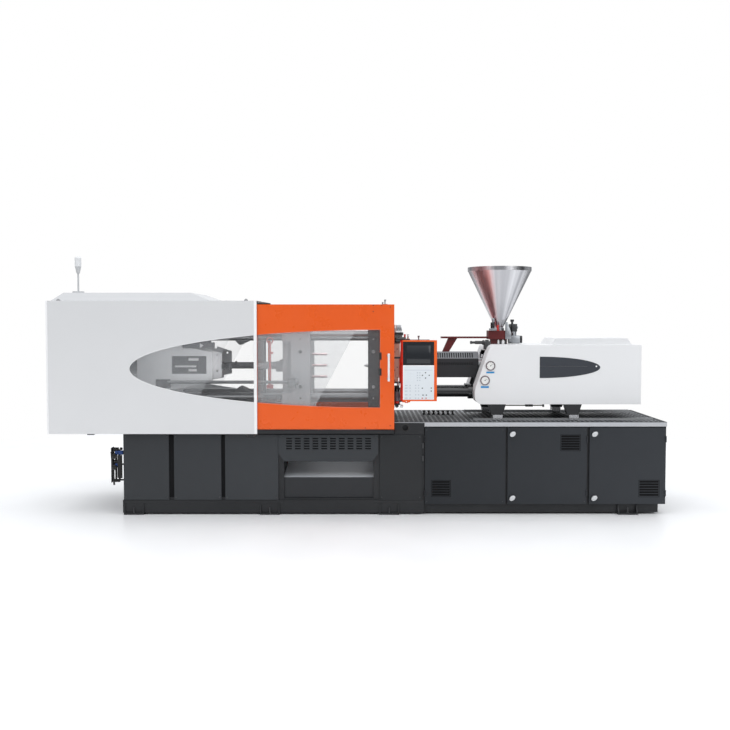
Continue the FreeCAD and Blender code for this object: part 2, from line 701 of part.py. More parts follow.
def rear_link():
    """Upper rear link: two cheeks on a barrel, with the knee pin and the drive pins in them."""
    y0, y1 = layer(1)
    x = rear_pivot_x()
    z = pivot_z()
    knee = x + LINK_LENGTH
    px, pz = drive_pivot()
    cheeks = []
    for sign in (-1, 1):
        low, high = sorted((sign * y0, sign * y1))
        lug = plate_xz([(x + 60.0, z), (px - 24.0, pz - 18.0), (px + 24.0, pz - 18.0), (knee - 20.0, z)],
                       low, high)
        cheek = join(stadium(x, z, knee, z, LINK_HALF_HEIGHT, low, high), lug,
                     rod_y(low, high, px, pz, DRIVE_LUG_RADIUS))
        cheek = cut(cheek, rod_y(low - 1.0, high + 1.0, x, z, LINK_PIN_RADIUS + SHAFT_PLAY),
                    rod_y(low - 1.0, high + 1.0, knee, z, LINK_PIN_RADIUS),
                    rod_y(low - 1.0, high + 1.0, px, pz, DRIVE_PIN_RADIUS))
        cheeks.append(cheek)
    pin = rod_y(-y1, y1, knee, z, LINK_PIN_RADIUS)
    outer = layer(2)[1]
    drive_pins = [rod_y(min(s * y0, s * outer), max(s * y0, s * outer), px, pz, DRIVE_PIN_RADIUS)
                  for s in (-1, 1)]
    return cheeks + [pin] + drive_pins


def front_link():
    x = rear_pivot_x() + LINK_LENGTH
    z = pivot_z()
    link = stadium(x, z, moving_pivot_x(), z, LINK_HALF_HEIGHT, -EAR_HALF, EAR_HALF)
    link = cut(link, rod_y(-100.0, 100.0, x, z, LINK_PIN_RADIUS + SHAFT_PLAY),
               rod_y(-100.0, 100.0, moving_pivot_x(), z, LINK_PIN_RADIUS))
    reach = layer(1)[1]
    pin = rod_y(-reach, reach, moving_pivot_x(), z, LINK_PIN_RADIUS)
    return [link, pin]


def small_links():
    """Pair of drive links from the upper rear link to the crosshead."""
    y0, y1 = layer(2)
    px, pz = drive_pivot()
    x = crosshead_x()
    links = []
    for sign in (-1, 1):
        low, high = sorted((sign * y0, sign * y1))
        link = stadium(px, pz, x, pivot_z(), DRIVE_LUG_RADIUS - 4.0, low, high)
        links.append(cut(link, rod_y(low - 1.0, high + 1.0, px, pz, DRIVE_PIN_RADIUS + SHAFT_PLAY),
                         rod_y(low - 1.0, high + 1.0, x, pivot_z(), DRIVE_PIN_RADIUS + SHAFT_PLAY)))
    return links


def crosshead():
    """Yoke with two tall arms, its four drive pins, and the piston rod with its piston."""
    inner, outer = layer(3)
    x = crosshead_x()
    small = layer(2)[0]
    half = CROSS_HALF_LENGTH
    pieces = [box(x - half, x + half, -outer, outer, AXIS_HEIGHT - CROSS_BLOCK_HALF,
                  AXIS_HEIGHT + CROSS_BLOCK_HALF)]
    for sign in (-1, 1):
        low, high = sorted((sign * inner, sign * outer))
        pieces.append(box(x - half, x + half, low, high, AXIS_HEIGHT - PIVOT_HEIGHT,
                          AXIS_HEIGHT + PIVOT_HEIGHT))
        for z in (AXIS_HEIGHT - PIVOT_HEIGHT, AXIS_HEIGHT + PIVOT_HEIGHT):
            pieces.append(rod_y(low, high, x, z, half))
            tip, root = sorted((sign * small, sign * (inner + 5.0)))
            pieces.append(rod_y(tip, root, x, z, DRIVE_PIN_RADIUS))
    piston = rod_x(piston_x() - 30.0, piston_x(), 0.0, AXIS_HEIGHT,
                   CYLINDER_RADIUS - CYLINDER_WALL - SHAFT_PLAY)
    shaft = rod_x(piston_x() - 5.0, x, 0.0, AXIS_HEIGHT, ROD_RADIUS)
    return join(*pieces, shaft, piston)


def piston_x():
    return REAR_BACK - 25.0


def rear_ears():
    """Middle ears on the rear platen that hold the rear pivots, with the pivot pins."""
    x = rear_pivot_x()
    z = pivot_z()
    outline = [(REAR_FACE - 5.0, z + 60.0), (x, z + LINK_HALF_HEIGHT), (x, z - LINK_HALF_HEIGHT),
               (REAR_FACE - 5.0, z - 60.0)]
    ear = join(plate_xz(outline, -EAR_HALF, EAR_HALF), rod_y(-EAR_HALF, EAR_HALF, x, z, LINK_HALF_HEIGHT))
    return cut(ear, rod_y(-100.0, 100.0, x, z, LINK_PIN_RADIUS))


def rear_pins():
    reach = layer(1)[1]
    pin = rod_y(-reach, reach, rear_pivot_x(), pivot_z(), LINK_PIN_RADIUS)
    return [pin, mirror_axis(pin)]


def side_cheek():
    """Stiffening cheek outside the tie bars, tapered, with a recess cast through it."""
    outer = REAR_HALF
    inner = REAR_HALF - 30.0
    outline = [(REAR_FACE - 5.0, AXIS_HEIGHT + 200.0), (CHEEK_FRONT, AXIS_HEIGHT + 130.0),
               (CHEEK_FRONT, AXIS_HEIGHT - 130.0), (REAR_FACE + 60.0, AXIS_HEIGHT - 190.0),
               (REAR_FACE - 5.0, AXIS_HEIGHT - 190.0)]
    cheek = plate_xz(outline, -outer, -inner)
    recess = box(-1630.0, -1326.0, -outer - 1.0, -outer + 18.0, 1195.0, 1353.0)
    windows = [box(-1510.0, -1420.0, -outer - 1.0, 0.0, z, z + 16.0) for z in (1240.0, 1328.0)]
    return cut(cheek, recess, *windows)


def side_horn():
    """Lug plate on the inner face of a side cheek, with two eyes past the cheek's end."""
    inner = REAR_HALF - 30.0
    tail = [(CHEEK_FRONT - 60.0, AXIS_HEIGHT + 165.0), (-1195.0, AXIS_HEIGHT + 120.0),
            (-1195.0, AXIS_HEIGHT - 90.0), (CHEEK_FRONT - 60.0, AXIS_HEIGHT - 120.0)]
    horn = plate_xz(tail, -inner, -inner + 16.0)
    eyes = [rod_y(-inner - 1.0, 0.0, -1235.0, z, 9.0) for z in (AXIS_HEIGHT + 105.0, AXIS_HEIGHT - 35.0)]
    return cut(horn, *eyes)


def rear_platen():
    low = AXIS_HEIGHT - REAR_HALF
    slab = box(REAR_BACK, REAR_FACE, -REAR_HALF, REAR_HALF, low, AXIS_HEIGHT + REAR_HALF)
    pocket = box(REAR_BACK + 60.0, REAR_FACE + 5.0, -200.0, 200.0, AXIS_HEIGHT + 95.0, AXIS_HEIGHT + 215.0)
    upper = rear_ears()
    body = welded(cut(slab, pocket, mirror_axis(pocket)), upper, mirror_axis(upper),
                  *both_sides(side_cheek()), *both_sides(side_horn()), *shoes(REAR_BACK, low))
    body = cut_each(body, *tie_bores(REAR_BACK - 5.0, REAR_FACE + 5.0),
                    rod_x(REAR_BACK - 5.0, REAR_FACE + 5.0, 0.0, AXIS_HEIGHT, ROD_RADIUS + SHAFT_PLAY))
    nuts = [cut(rod_x(REAR_BACK - NUT_LENGTH, REAR_BACK, y, z, NUT_RADIUS),
                rod_x(REAR_BACK - NUT_LENGTH - 5.0, REAR_BACK + 5.0, y, z, TIE_RADIUS + SHAFT_PLAY))
            for y, z in tie_points()]
    return body + nuts + rear_pins()


def clamp_cylinder():
    left = REAR_BACK - CYLINDER_LENGTH
    outer = rod_x(left, REAR_BACK, 0.0, AXIS_HEIGHT, CYLINDER_RADIUS)
    flange = rod_x(REAR_BACK - 25.0, REAR_BACK, 0.0, AXIS_HEIGHT, CYLINDER_RADIUS + 45.0)
    cap = box(left, left + CYLINDER_CAP, -CYLINDER_RADIUS, CYLINDER_RADIUS, AXIS_HEIGHT - CYLINDER_RADIUS,
              AXIS_HEIGHT + CYLINDER_RADIUS)
    bore = rod_x(left + CYLINDER_CAP, REAR_BACK - 20.0, 0.0, AXIS_HEIGHT, CYLINDER_RADIUS - CYLINDER_WALL)
    gland = rod_x(REAR_BACK - 25.0, REAR_BACK + 1.0, 0.0, AXIS_HEIGHT, ROD_RADIUS + SHAFT_PLAY)
    return cut(join(outer, flange, cap), bore, gland)


def ejector_places():
    return [(0.0, AXIS_HEIGHT + k * EJECTOR_PITCH) for k in (-1, 0, 1)]


def ejector():
    """Ejector plate behind the moving platen, its three rods and its two piston rods."""
    plate_front = ejector_plate_front()
    plate = box(plate_front - EJECTOR_PLATE, plate_front, -EJECTOR_HALF_Y, EJECTOR_HALF_Y,
                AXIS_HEIGHT - EJECTOR_HALF_Z, AXIS_HEIGHT + EJECTOR_HALF_Z)
    rods = [rod_x(plate_front - 5.0, MOVING_FACE + EJECTOR_REACH, y, z, EJECTOR_RADIUS)
            for y, z in ejector_places()]
    piston_front = plate_front - EJECTOR_PLATE - EJECTOR_REACH - 22.0
    piston_radius = EJECTOR_CYLINDER_RADIUS - EJECTOR_CYLINDER_WALL - SHAFT_PLAY
    pistons = []
    for y in (-EJECTOR_CYLINDER_Y, EJECTOR_CYLINDER_Y):
        pistons += [rod_x(piston_front - 5.0, plate_front - 5.0, y, AXIS_HEIGHT, EJECTOR_ROD_RADIUS),
                    rod_x(piston_front - EJECTOR_PISTON, piston_front, y, AXIS_HEIGHT, piston_radius)]
    return join(plate, *rods, *pistons)


def safety_rod():
    """Drop-bar safety: a notched rod clamped to the front of the moving platen."""
    y = -PLATEN_HALF - 32.0
    z = 1128.0
    block = box(-612.0, -546.0, -PLATEN_HALF - 60.0, -PLATEN_HALF, z - 46.0, z + 34.0)
    rod = rod_x(-1655.0, -520.0, y, z, 14.0)
    nut = rod_x(-546.0, -520.0, y, z, 24.0)
    return join(block, rod, nut)


# ---------------------------------------------------------------- guards

def window_half_height(x):
    share = (x - WINDOW_CENTRE_X) / WINDOW_LONG
    return WINDOW_SHORT * math.sqrt(1.0 - share * share)


def oval_prism(x, z, half_length, half_height, y0, y1):
    curve = Part.Ellipse(V(x + half_length, y0, z), V(x, y0, z + half_height), V(x, y0, z))
    return Part.Face(Part.Wire(curve.toShape())).extrude(V(0, y1 - y0, 0))


def window_prism(x_right, y0, y1, grow=0.0):
    """The left half of the long ellipse, cut off at x_right."""
    oval = oval_prism(WINDOW_CENTRE_X, WINDOW_CENTRE_Z, WINDOW_LONG + grow, WINDOW_SHORT + grow, y0, y1)
    keep = box(WINDOW_CENTRE_X - WINDOW_LONG - 100.0, x_right, y0 - 1.0, y1 + 1.0,
               WINDOW_CENTRE_Z - WINDOW_SHORT - 100.0, WINDOW_CENTRE_Z + WINDOW_SHORT + 100.0)
    return oval.common(keep)


def guard_side():
    """White side guard: a folded sheet with the window cut in it and a finger grip under its end."""
    sheet = box(-MACHINE_HALF_LENGTH, GUARD_RIGHT, -GUARD_FACE, -GUARD_FACE + GUARD_SHEET, GUARD_BOTTOM,
                GUARD_TOP)
    hole = window_prism(GUARD_RIGHT - WINDOW_STRIP, -GUARD_FACE - 1.0, -GUARD_FACE + GUARD_SHEET + 1.0)
    return cut(sheet, hole)


def guard_pane():
    inside = -GUARD_FACE + GUARD_SHEET
    return window_prism(GUARD_RIGHT - WINDOW_STRIP + PANE_LAP, inside, inside + PANE_THICKNESS, PANE_LAP)


def guard_roof():
    """Roof with its raised, bevelled middle, and the left end sheet, as one folded cover."""
    inner = GUARD_FACE - GUARD_SHEET
    left = -MACHINE_HALF_LENGTH
    roof = box(left, GUARD_RIGHT, -inner, inner, GUARD_TOP - GUARD_SHEET, GUARD_TOP)
    end = box(left, left + GUARD_SHEET, -inner, inner, GUARD_BOTTOM, GUARD_TOP)
    outer = hump(-2615.0, -1255.0, 540.0, 0.0)
    void = hump(-2615.0 + 8.0, -1255.0 - 8.0, 540.0 - 8.0, -GUARD_SHEET)
    opening = box(-2560.0, -1500.0, -450.0, 450.0, GUARD_TOP - 10.0, GUARD_TOP + 2.0)
    return cut_each(welded(roof, end, outer), void, opening)


def hump(x0, x1, half, lift):
    """Bevelled dome of the roof: wide base, smaller top."""
    base = [V(x0, -half, GUARD_TOP + lift), V(x1, -half, GUARD_TOP + lift),
            V(x1, half, GUARD_TOP + lift), V(x0, half, GUARD_TOP + lift)]
    top_z = GUARD_TOP + ROOF_RISE + lift
    x2, x3, inset = x0 + 78.0, x1 - 190.0, half - 110.0
    top = [V(x2, -inset, top_z), V(x3, -inset, top_z), V(x3, inset, top_z), V(x2, inset, top_z)]
    wires = [Part.makePolygon(ring + ring[:1]) for ring in (base, top)]
    return Part.makeLoft(wires, True, True)


def guard_frame():
    """Steel frame inside the guards: sill beams, eaves, end posts, and the upper door rails."""
    outer = GUARD_FACE - GUARD_SHEET
    inner = BED_HALF_WIDTH - PANEL_RECESS
    sill = box(BED_LEFT + 2.0, DOOR_RIGHT - 2.0, -outer, -inner + 40.0, GUARD_BOTTOM + 2.0, DOOR_BOTTOM - 6.0)
    foot_block = box(BED_LEFT + 2.0, DOOR_RIGHT - 2.0, -inner + 4.0, -inner + 40.0, CLAMP_BED_TOP,
                     GUARD_BOTTOM + 4.0)
    left = -MACHINE_HALF_LENGTH + GUARD_SHEET
    rail_out = DOOR_FACE - DOOR_DEPTH - 4.0
    rail_in = rail_out - RAIL_DEPTH
    rail_top = DOOR_TOP - 6.0
    rail = box(left, DOOR_RIGHT - 2.0, -rail_out, -rail_in, rail_top - RAIL_HEIGHT, rail_top)
    eaves = box(left, GUARD_RIGHT - 2.0, -outer, -rail_in, DOOR_TOP + 4.0, GUARD_TOP - GUARD_SHEET)
    hangers = [box(x - 20.0, x + 20.0, -rail_in - 2.0, -rail_in + 10.0, rail_top - RAIL_HEIGHT,
                   GUARD_TOP - GUARD_SHEET) for x in (-2500.0, -1700.0, -900.0)]
    hangers += [box(x - 20.0, x + 20.0, -rail_in - 4.0, -rail_in + 10.0, DOOR_TOP + 4.0,
                    GUARD_TOP - GUARD_SHEET) for x in (-2500.0, -1700.0, -900.0)]
    right_post = box(POST_X - POST_HALF, POST_X + POST_HALF, -rail_out, -rail_in, DOOR_BOTTOM - 6.0,
                     rail_top - RAIL_HEIGHT)
    left_post = box(BED_LEFT + 2.0, BED_LEFT + 32.0, -rail_in, -rail_in + 30.0, CLAMP_BED_TOP,
                    GUARD_TOP - GUARD_SHEET)
    tie = box(BED_LEFT + 2.0, BED_LEFT + 32.0, -rail_in - 2.0, -rail_in + 2.0, rail_top - RAIL_HEIGHT,
              rail_top)
    side = welded(sill, foot_block, rail, eaves, *hangers, right_post, left_post, tie, beam_block())
    return side + [mirror_y(piece) for piece in side]


def door_frame():
    """Sliding door: a folded frame round its window, with hangers on the rail and a bar handle."""
    x0 = GUARD_RIGHT - WINDOW_STRIP
    face = -DOOR_FACE
    frame = box(x0, DOOR_RIGHT, face, face + DOOR_DEPTH, DOOR_BOTTOM, DOOR_TOP)
    hole = window_prism(WINDOW_CENTRE_X, face - 1.0, face + DOOR_DEPTH + 1.0)
    hole = hole.common(box(x0 + WINDOW_STRIP - 1.0, WINDOW_CENTRE_X, face - 2.0, 0.0, 0.0, 3000.0))
    rail_top = DOOR_TOP - 6.0
    over = 0.3
    reach = -DOOR_FACE + DOOR_DEPTH + 4.0 + RAIL_DEPTH - 4.0
    hangers = [box(x - 50.0, x + 50.0, face + DOOR_DEPTH - 1.0, reach, rail_top + over, DOOR_TOP)
               for x in (x0 + 80.0, DOOR_RIGHT - 80.0)]
    return cut(join(frame, *hangers), hole)


def door_handle():
    face = -DOOR_FACE
    out = face - HANDLE_STANDOFF
    grip = rod_z(HANDLE_LOW, HANDLE_HIGH, HANDLE_X, out, HANDLE_RADIUS)
    legs = [rod_y(out, face, HANDLE_X, z, HANDLE_RADIUS - 1.5)
            for z in (HANDLE_LOW + 18.0, HANDLE_HIGH - 18.0)]
    return join(grip, *legs)


def door_pane():
    back = -DOOR_FACE + DOOR_DEPTH
    x0 = GUARD_RIGHT - 1.0
    pane = window_prism(WINDOW_CENTRE_X, back - 16.0, back - 10.0)
    return pane.common(box(x0, WINDOW_CENTRE_X, back - 20.0, back, 0.0, 3000.0))


def beacon_stem():
    top = GUARD_TOP + ROOF_RISE
    flange = rod_z(top, top + 14.0, BEACON_X, BEACON_Y, 50.0)
    pole = rod_z(top + 10.0, top + BEACON_POLE, BEACON_X, BEACON_Y, 7.5)
    socket = cone_z(top + BEACON_POLE, beacon_lamp_z(), BEACON_X, BEACON_Y, 14.0, 26.0)
    return join(flange, pole, socket)


def beacon_lamp_z():
    return GUARD_TOP + ROOF_RISE + BEACON_POLE + 59.0


def beacon_lamp():
    z = beacon_lamp_z()
    dome = cone_z(z + 75.0, z + 87.0, BEACON_X, BEACON_Y, 27.5, 20.0)
    return join(rod_z(z, z + 75.0, BEACON_X, BEACON_Y, 27.5), dome)


# ---------------------------------------------------------------- injection unit

def barrel():
    axis = AXIS_HEIGHT
    tube = rod_x(BARREL_START, BARREL_END, 0.0, axis, BARREL_RADIUS)
    head = cone_x(BARREL_START - 60.0, BARREL_START, 0.0, axis, 40.0, BARREL_RADIUS)
    nose = rod_x(NOZZLE_TIP + 60.0, BARREL_START - 58.0, 0.0, axis, 24.0)
    tip = cone_x(NOZZLE_TIP, NOZZLE_TIP + 62.0, 0.0, axis, 9.0, 24.0)
    bore = rod_x(BARREL_START + 20.0, BARREL_END + 1.0, 0.0, axis, SCREW_RADIUS + SHAFT_PLAY)
    runner = rod_x(NOZZLE_TIP - 1.0, BARREL_START + 25.0, 0.0, axis, 3.0)
    feed = rod_z(axis, axis + BARREL_RADIUS + 5.0, HOPPER_X, 0.0, FEED_RADIUS)
    return cut(join(tube, head, nose, tip), bore, runner, feed)


def heater_bands():
    width, pitch = 92.0, 118.0
    bands = []
    for k in range(5):
        x = BARREL_START + 25.0 + k * pitch
        ring = cut(rod_x(x, x + width, 0.0, AXIS_HEIGHT, BAND_RADIUS),
                   rod_x(x - 1.0, x + width + 1.0, 0.0, AXIS_HEIGHT, BARREL_RADIUS))
        lug = box(x + 30.0, x + width - 30.0, -12.0, 12.0, AXIS_HEIGHT - BAND_RADIUS - 14.0,
                  AXIS_HEIGHT - BAND_RADIUS + 2.0)
        bands.append(join(ring, lug))
    return bands


def shroud_outline(left, bottom, shoulder, lean, top):
    """End view of the barrel shroud, given for its left half and mirrored."""
    half = [(left, bottom), (left, shoulder), (left + lean, top)]
    return half + [(-y, z) for y, z in reversed(half)]


def barrel_shroud():
    """Perforated sheet over the heaters: leaning shoulders, two rows of slots, open underneath."""
    t = SHROUD_SHEET
    shoulder = SHROUD_TOP - SHROUD_DROP
    shell = plate_yz(shroud_outline(-SHROUD_HALF, SHROUD_BOTTOM, shoulder, SHROUD_LEAN, SHROUD_TOP),
                     SHROUD_LEFT, SHROUD_RIGHT)
    core = plate_yz(shroud_outline(-SHROUD_HALF + t, SHROUD_BOTTOM - 1.0, shoulder - 0.3 * t,
                                   SHROUD_LEAN - 0.5 * t, SHROUD_TOP - t),
                    SHROUD_LEFT - 1.0, SHROUD_RIGHT + 1.0)
    first = SHROUD_LEFT + 20.0
    count = int((SHROUD_RIGHT - SHROUD_LEFT - 40.0) / SLOT_PITCH)
    slots = []
    for index in range(count):
        x = first + index * SLOT_PITCH
        slots.append(box(x, x + SLOT_WIDTH, -SHROUD_HALF - 5.0, -SHROUD_HALF + SHROUD_LEAN, shoulder + 7.0,
                         SHROUD_TOP - 8.0))
        slots.append(box(x + 2.0, x + SLOT_WIDTH - 2.0, -SHROUD_HALF - 5.0, -SHROUD_HALF + 5.0,
                         shoulder - 58.0, shoulder - 34.0))
    slots += [mirror_y(slot) for slot in slots]
    return cut(shell, core, *slots)


def slide_ways():
    half = WAY_WIDTH / 2
    way = box(BED_LEFT + 30.0, FIXED_FACE + 10.0, -WAY_OFFSET - half, -WAY_OFFSET + half, CLAMP_BED_TOP,
              CLAMP_BED_TOP + WAY_THICKNESS)
    rail = box(1000.0, 2560.0, -RAIL_OFFSET - RAIL_WIDTH / 2, -RAIL_OFFSET + RAIL_WIDTH / 2, DECK_TOP,
               RAIL_TOP)
    return both_sides(way) + both_sides(rail)


def rail_block(x):
    """Linear bearing block astride a rail, and the pedestal on it."""
    y = -RAIL_OFFSET
    wide = 42.0
    slot_half = RAIL_WIDTH / 2 + 0.5
    block = box(x - 41.0, x + 41.0, y - wide, y + wide, DECK_TOP + 4.0, BLOCK_TOP)
    block = cut(block, box(x - 50.0, x + 50.0, y - slot_half, y + slot_half, DECK_TOP, RAIL_TOP + 0.5))
    return block


def pedestal(x):
    outer = COVER_HALF - COVER_SHEET
    outline = [(x - 80.0, HOUSING_BOTTOM), (x - 50.0, BLOCK_TOP), (x + 50.0, BLOCK_TOP),
               (x + 80.0, HOUSING_BOTTOM)]
    return plate_xz(outline, -outer, -HOUSING_HALF + 10.0)


def rail_blocks():
    return [twin for x in (1208.0, 1869.0) for twin in both_sides(rail_block(x))]


def injection_housing():
    """Cast front housing, tail plate and guide rods of the injection unit, on four pedestals."""
    front = box(HOUSING_LEFT, HOUSING_RIGHT, -HOUSING_HALF, HOUSING_HALF, HOUSING_BOTTOM, HOUSING_TOP)
    bore = rod_x(HOUSING_LEFT - 1.0, HOUSING_RIGHT + 1.0, 0.0, AXIS_HEIGHT, BARREL_RADIUS)
    mouth = rod_z(AXIS_HEIGHT, HOUSING_TOP + 1.0, HOPPER_X, 0.0, FEED_RADIUS)
    tail = box(TAIL_LEFT, TAIL_RIGHT, -HOUSING_HALF, HOUSING_HALF, HOUSING_BOTTOM + 80.0, HOUSING_TOP - 70.0)
    tail = cut(tail, rod_x(TAIL_LEFT - 1.0, TAIL_RIGHT + 1.0, 0.0, AXIS_HEIGHT, 120.0))
    beam = box(HOUSING_LEFT, TAIL_RIGHT, -HOUSING_HALF, -HOUSING_HALF + 90.0, HOUSING_BOTTOM,
               HOUSING_BOTTOM + 90.0)
    guides = [rod_x(HOUSING_RIGHT - 5.0, TAIL_LEFT + 5.0, sy * GUIDE_Y, AXIS_HEIGHT, GUIDE_RADIUS)
              for sy in (-1, 1)]
    pedestals = [twin for x in (1208.0, 1869.0) for twin in both_sides(pedestal(x))]
    return join(cut(front, bore, mouth), tail, *both_sides(beam), *guides, *pedestals)


def injection_drive():
    """Thrust plate on the guide rods with the screw motor behind it."""
    plate = box(DRIVE_LEFT, DRIVE_LEFT + DRIVE_PLATE, -HOUSING_HALF + 30.0, HOUSING_HALF - 30.0,
                AXIS_HEIGHT - 120.0, AXIS_HEIGHT + 120.0)
    motor = rod_x(DRIVE_LEFT + DRIVE_PLATE, DRIVE_LEFT + DRIVE_PLATE + 210.0, 0.0, AXIS_HEIGHT, 105.0)
    guides = [rod_x(DRIVE_LEFT - 1.0, DRIVE_LEFT + DRIVE_PLATE + 1.0, sy * GUIDE_Y, AXIS_HEIGHT,
                    GUIDE_RADIUS + SHAFT_PLAY) for sy in (-1, 1)]
    socket = rod_x(DRIVE_LEFT - 1.0, DRIVE_LEFT + DRIVE_PLATE, 0.0, AXIS_HEIGHT, 35.0 + SHAFT_PLAY)
    return cut(join(plate, motor), socket, *guides)


def screw():
    """Plasticising screw: helical flight on a core, plain shank and drive end."""
    start = BARREL_START + 24.0
    tip = cone_x(start, start + 40.0, 0.0, AXIS_HEIGHT, 3.0, SCREW_RADIUS - 2.0)
    flighted = HOPPER_X + 40.0
    core = rod_x(start + 38.0, flighted, 0.0, AXIS_HEIGHT, SCREW_CORE)
    shank = rod_x(flighted, DRIVE_LEFT + 5.0, 0.0, AXIS_HEIGHT, SCREW_RADIUS)
    stub = rod_x(DRIVE_LEFT + 1.0, DRIVE_LEFT + DRIVE_PLATE - 5.0, 0.0, AXIS_HEIGHT, 35.0)
    rings = [rod_x(start + 60.0 + k * 50.0, start + 66.0 + k * 50.0, 0.0, AXIS_HEIGHT, SCREW_RADIUS)
             for k in range(int((flighted - start - 80.0) / 50.0))]
    return join(core, tip, shank, stub, *rings)


def cover_shell(inset, half):
    """Solid shape of the injection cover, drawn in by the sheet thickness for its void."""
    z0 = COVER_BOTTOM - (1.0 if inset else 0.0)
    z1 = COVER_TOP - inset
    left = COVER_LEFT + inset
    foot, shoulder, brow = (left, z0), (left, COVER_SHOULDER), (left + COVER_RAKE, z1)
    outline = [foot, shoulder, brow, (COVER_RIGHT - inset, z1), (COVER_RIGHT - inset, z0)]
    shell = plate_xz(outline, -half, half)
    for place, radius in ((foot, COVER_FOOT_RADIUS), (shoulder, COVER_SHOULDER_RADIUS),
                          (brow, COVER_BROW_RADIUS)):
        shell = round_across(shell, place, radius - inset)
    return shell


def round_across(shape, place, radius):
    """Round the edge that runs across the machine at the given X and Z."""
    edges = []
    for edge in shape.Edges:
        bounds = edge.BoundBox
        middle = bounds.Center
        across = bounds.XLength < 0.01 and bounds.ZLength < 0.01
        if across and abs(middle.x - place[0]) < 0.1 and abs(middle.z - place[1]) < 0.1:
            edges.append(edge)
    return shape.makeFillet(radius, edges)


def injection_cover():
    """White sheet cover over the injection drive, open underneath, with a raised roof panel."""
    half = COVER_HALF
    outer = cover_shell(0.0, half)
    raised = [(HUMP_LEFT, COVER_TOP - 3.0), (HUMP_LEFT + HUMP_RAKE, COVER_TOP + COVER_HUMP),
              (HUMP_RIGHT - HUMP_RAKE, COVER_TOP + COVER_HUMP), (HUMP_RIGHT, COVER_TOP - 3.0)]
    hump_block = plate_xz(raised, -half + 120.0, half - 120.0)
    void = cover_shell(COVER_SHEET, half - COVER_SHEET)
    throat = box(HOPPER_X - 150.0, HOPPER_X + 110.0, -70.0, 70.0, COVER_TOP - 20.0, COVER_TOP + 20.0)
    nose = box(COVER_LEFT - 10.0, COVER_LEFT + 160.0, -150.0, 150.0, COVER_BOTTOM - 5.0, 1395.0)
    pull = [rod_x(COVER_LEFT - 20.0, COVER_LEFT + 120.0, sy * PULL_Y, PULL_HEIGHT, 62.0) for sy in (-1, 1)]
    return cut(join(outer, hump_block), void, throat, nose, *pull)


def cover_window():
    """Dark half-oval pane on both flanks of the cover."""
    half_length, half_height = 526.0, 93.0
    x = 1576.0
    oval = oval_prism(x, AXIS_HEIGHT, half_length, half_height, -COVER_HALF - 2.0, -COVER_HALF)
    keep = box(x, x + half_length + 5.0, -COVER_HALF - 5.0, -COVER_HALF + 5.0, 1000.0, 1500.0)
    return both_sides(oval.common(keep))


def gauges():
    """Pressure gauges let into the front of the cover."""
    return [rod_y(-COVER_HALF - 14.0, -COVER_HALF, x, z, 43.0)
            for x, z in ((1147.0, 1269.0), (1100.0, 1142.0))]


def pull_cylinders():
    """Nozzle contact cylinders: barrels on the injection unit that travel along fixed rods."""
    body = rod_x(PULL_LEFT, HOUSING_LEFT, -PULL_Y, PULL_HEIGHT, PULL_RADIUS)
    collar = rod_x(PULL_RIGHT - 60.0, PULL_RIGHT, -PULL_Y, PULL_HEIGHT, 59.5)
    bore = rod_x(PULL_LEFT + 20.0, PULL_RIGHT + 40.0, -PULL_Y, PULL_HEIGHT, PULL_RADIUS - 9.0)
    gland = rod_x(PULL_LEFT - 1.0, PULL_LEFT + 21.0, -PULL_Y, PULL_HEIGHT, PULL_ROD_RADIUS + SHAFT_PLAY)
    return both_sides(cut(join(body, collar), bore, gland))


def pull_rods():
    left = FIXED_FACE + FIXED_THICKNESS
    rod = rod_x(left, 880.0, -PULL_Y, PULL_HEIGHT, PULL_ROD_RADIUS)
    piston = rod_x(850.0, 880.0, -PULL_Y, PULL_HEIGHT, PULL_RADIUS - 9.0 - SHAFT_PLAY)
    boss = box(left, left + 30.0, -PULL_Y - 45.0, -PULL_Y + 45.0, PULL_HEIGHT - 45.0, PULL_HEIGHT + 45.0)
    return both_sides(join(rod, piston, boss))


def purge_guard():
    """Hood over the nozzle: a top and a front sheet on a sleeve that slides along its rod."""
    x0 = FIXED_FACE + FIXED_THICKNESS + 22.0
    x1 = x0 + PURGE_WIDTH
    top = PURGE_ROD_Z + PURGE_SHEET / 2
    roof = box(x0, x1, -PURGE_HALF, PURGE_ROD_Y, top - PURGE_SHEET, top)
    front = box(x0, x1, -PURGE_HALF, -PURGE_HALF + PURGE_SHEET, 1110.0, top)
    sleeve = rod_x(x0, x1, PURGE_ROD_Y, PURGE_ROD_Z, PURGE_ROD_RADIUS + 6.0)
    bore = rod_x(x0 - 1.0, x1 + 1.0, PURGE_ROD_Y, PURGE_ROD_Z, PURGE_ROD_RADIUS + SHAFT_PLAY)
    return cut(join(roof, front, sleeve), bore)


def purge_bracket():
    x1 = FIXED_FACE + FIXED_THICKNESS
    x0 = x1 + 22.0
    arm = box(x1, x0 - 0.4, PURGE_ROD_Y - 12.0, PURGE_ROD_Y + 12.0, PURGE_ROD_Z - 12.0, PURGE_ROD_Z + 12.0)
    rod = rod_x(x1 + 5.0, x0 + PURGE_WIDTH + PURGE_TRAVEL, PURGE_ROD_Y, PURGE_ROD_Z, PURGE_ROD_RADIUS)
    return join(arm, rod)


# ---------------------------------------------------------------- hopper

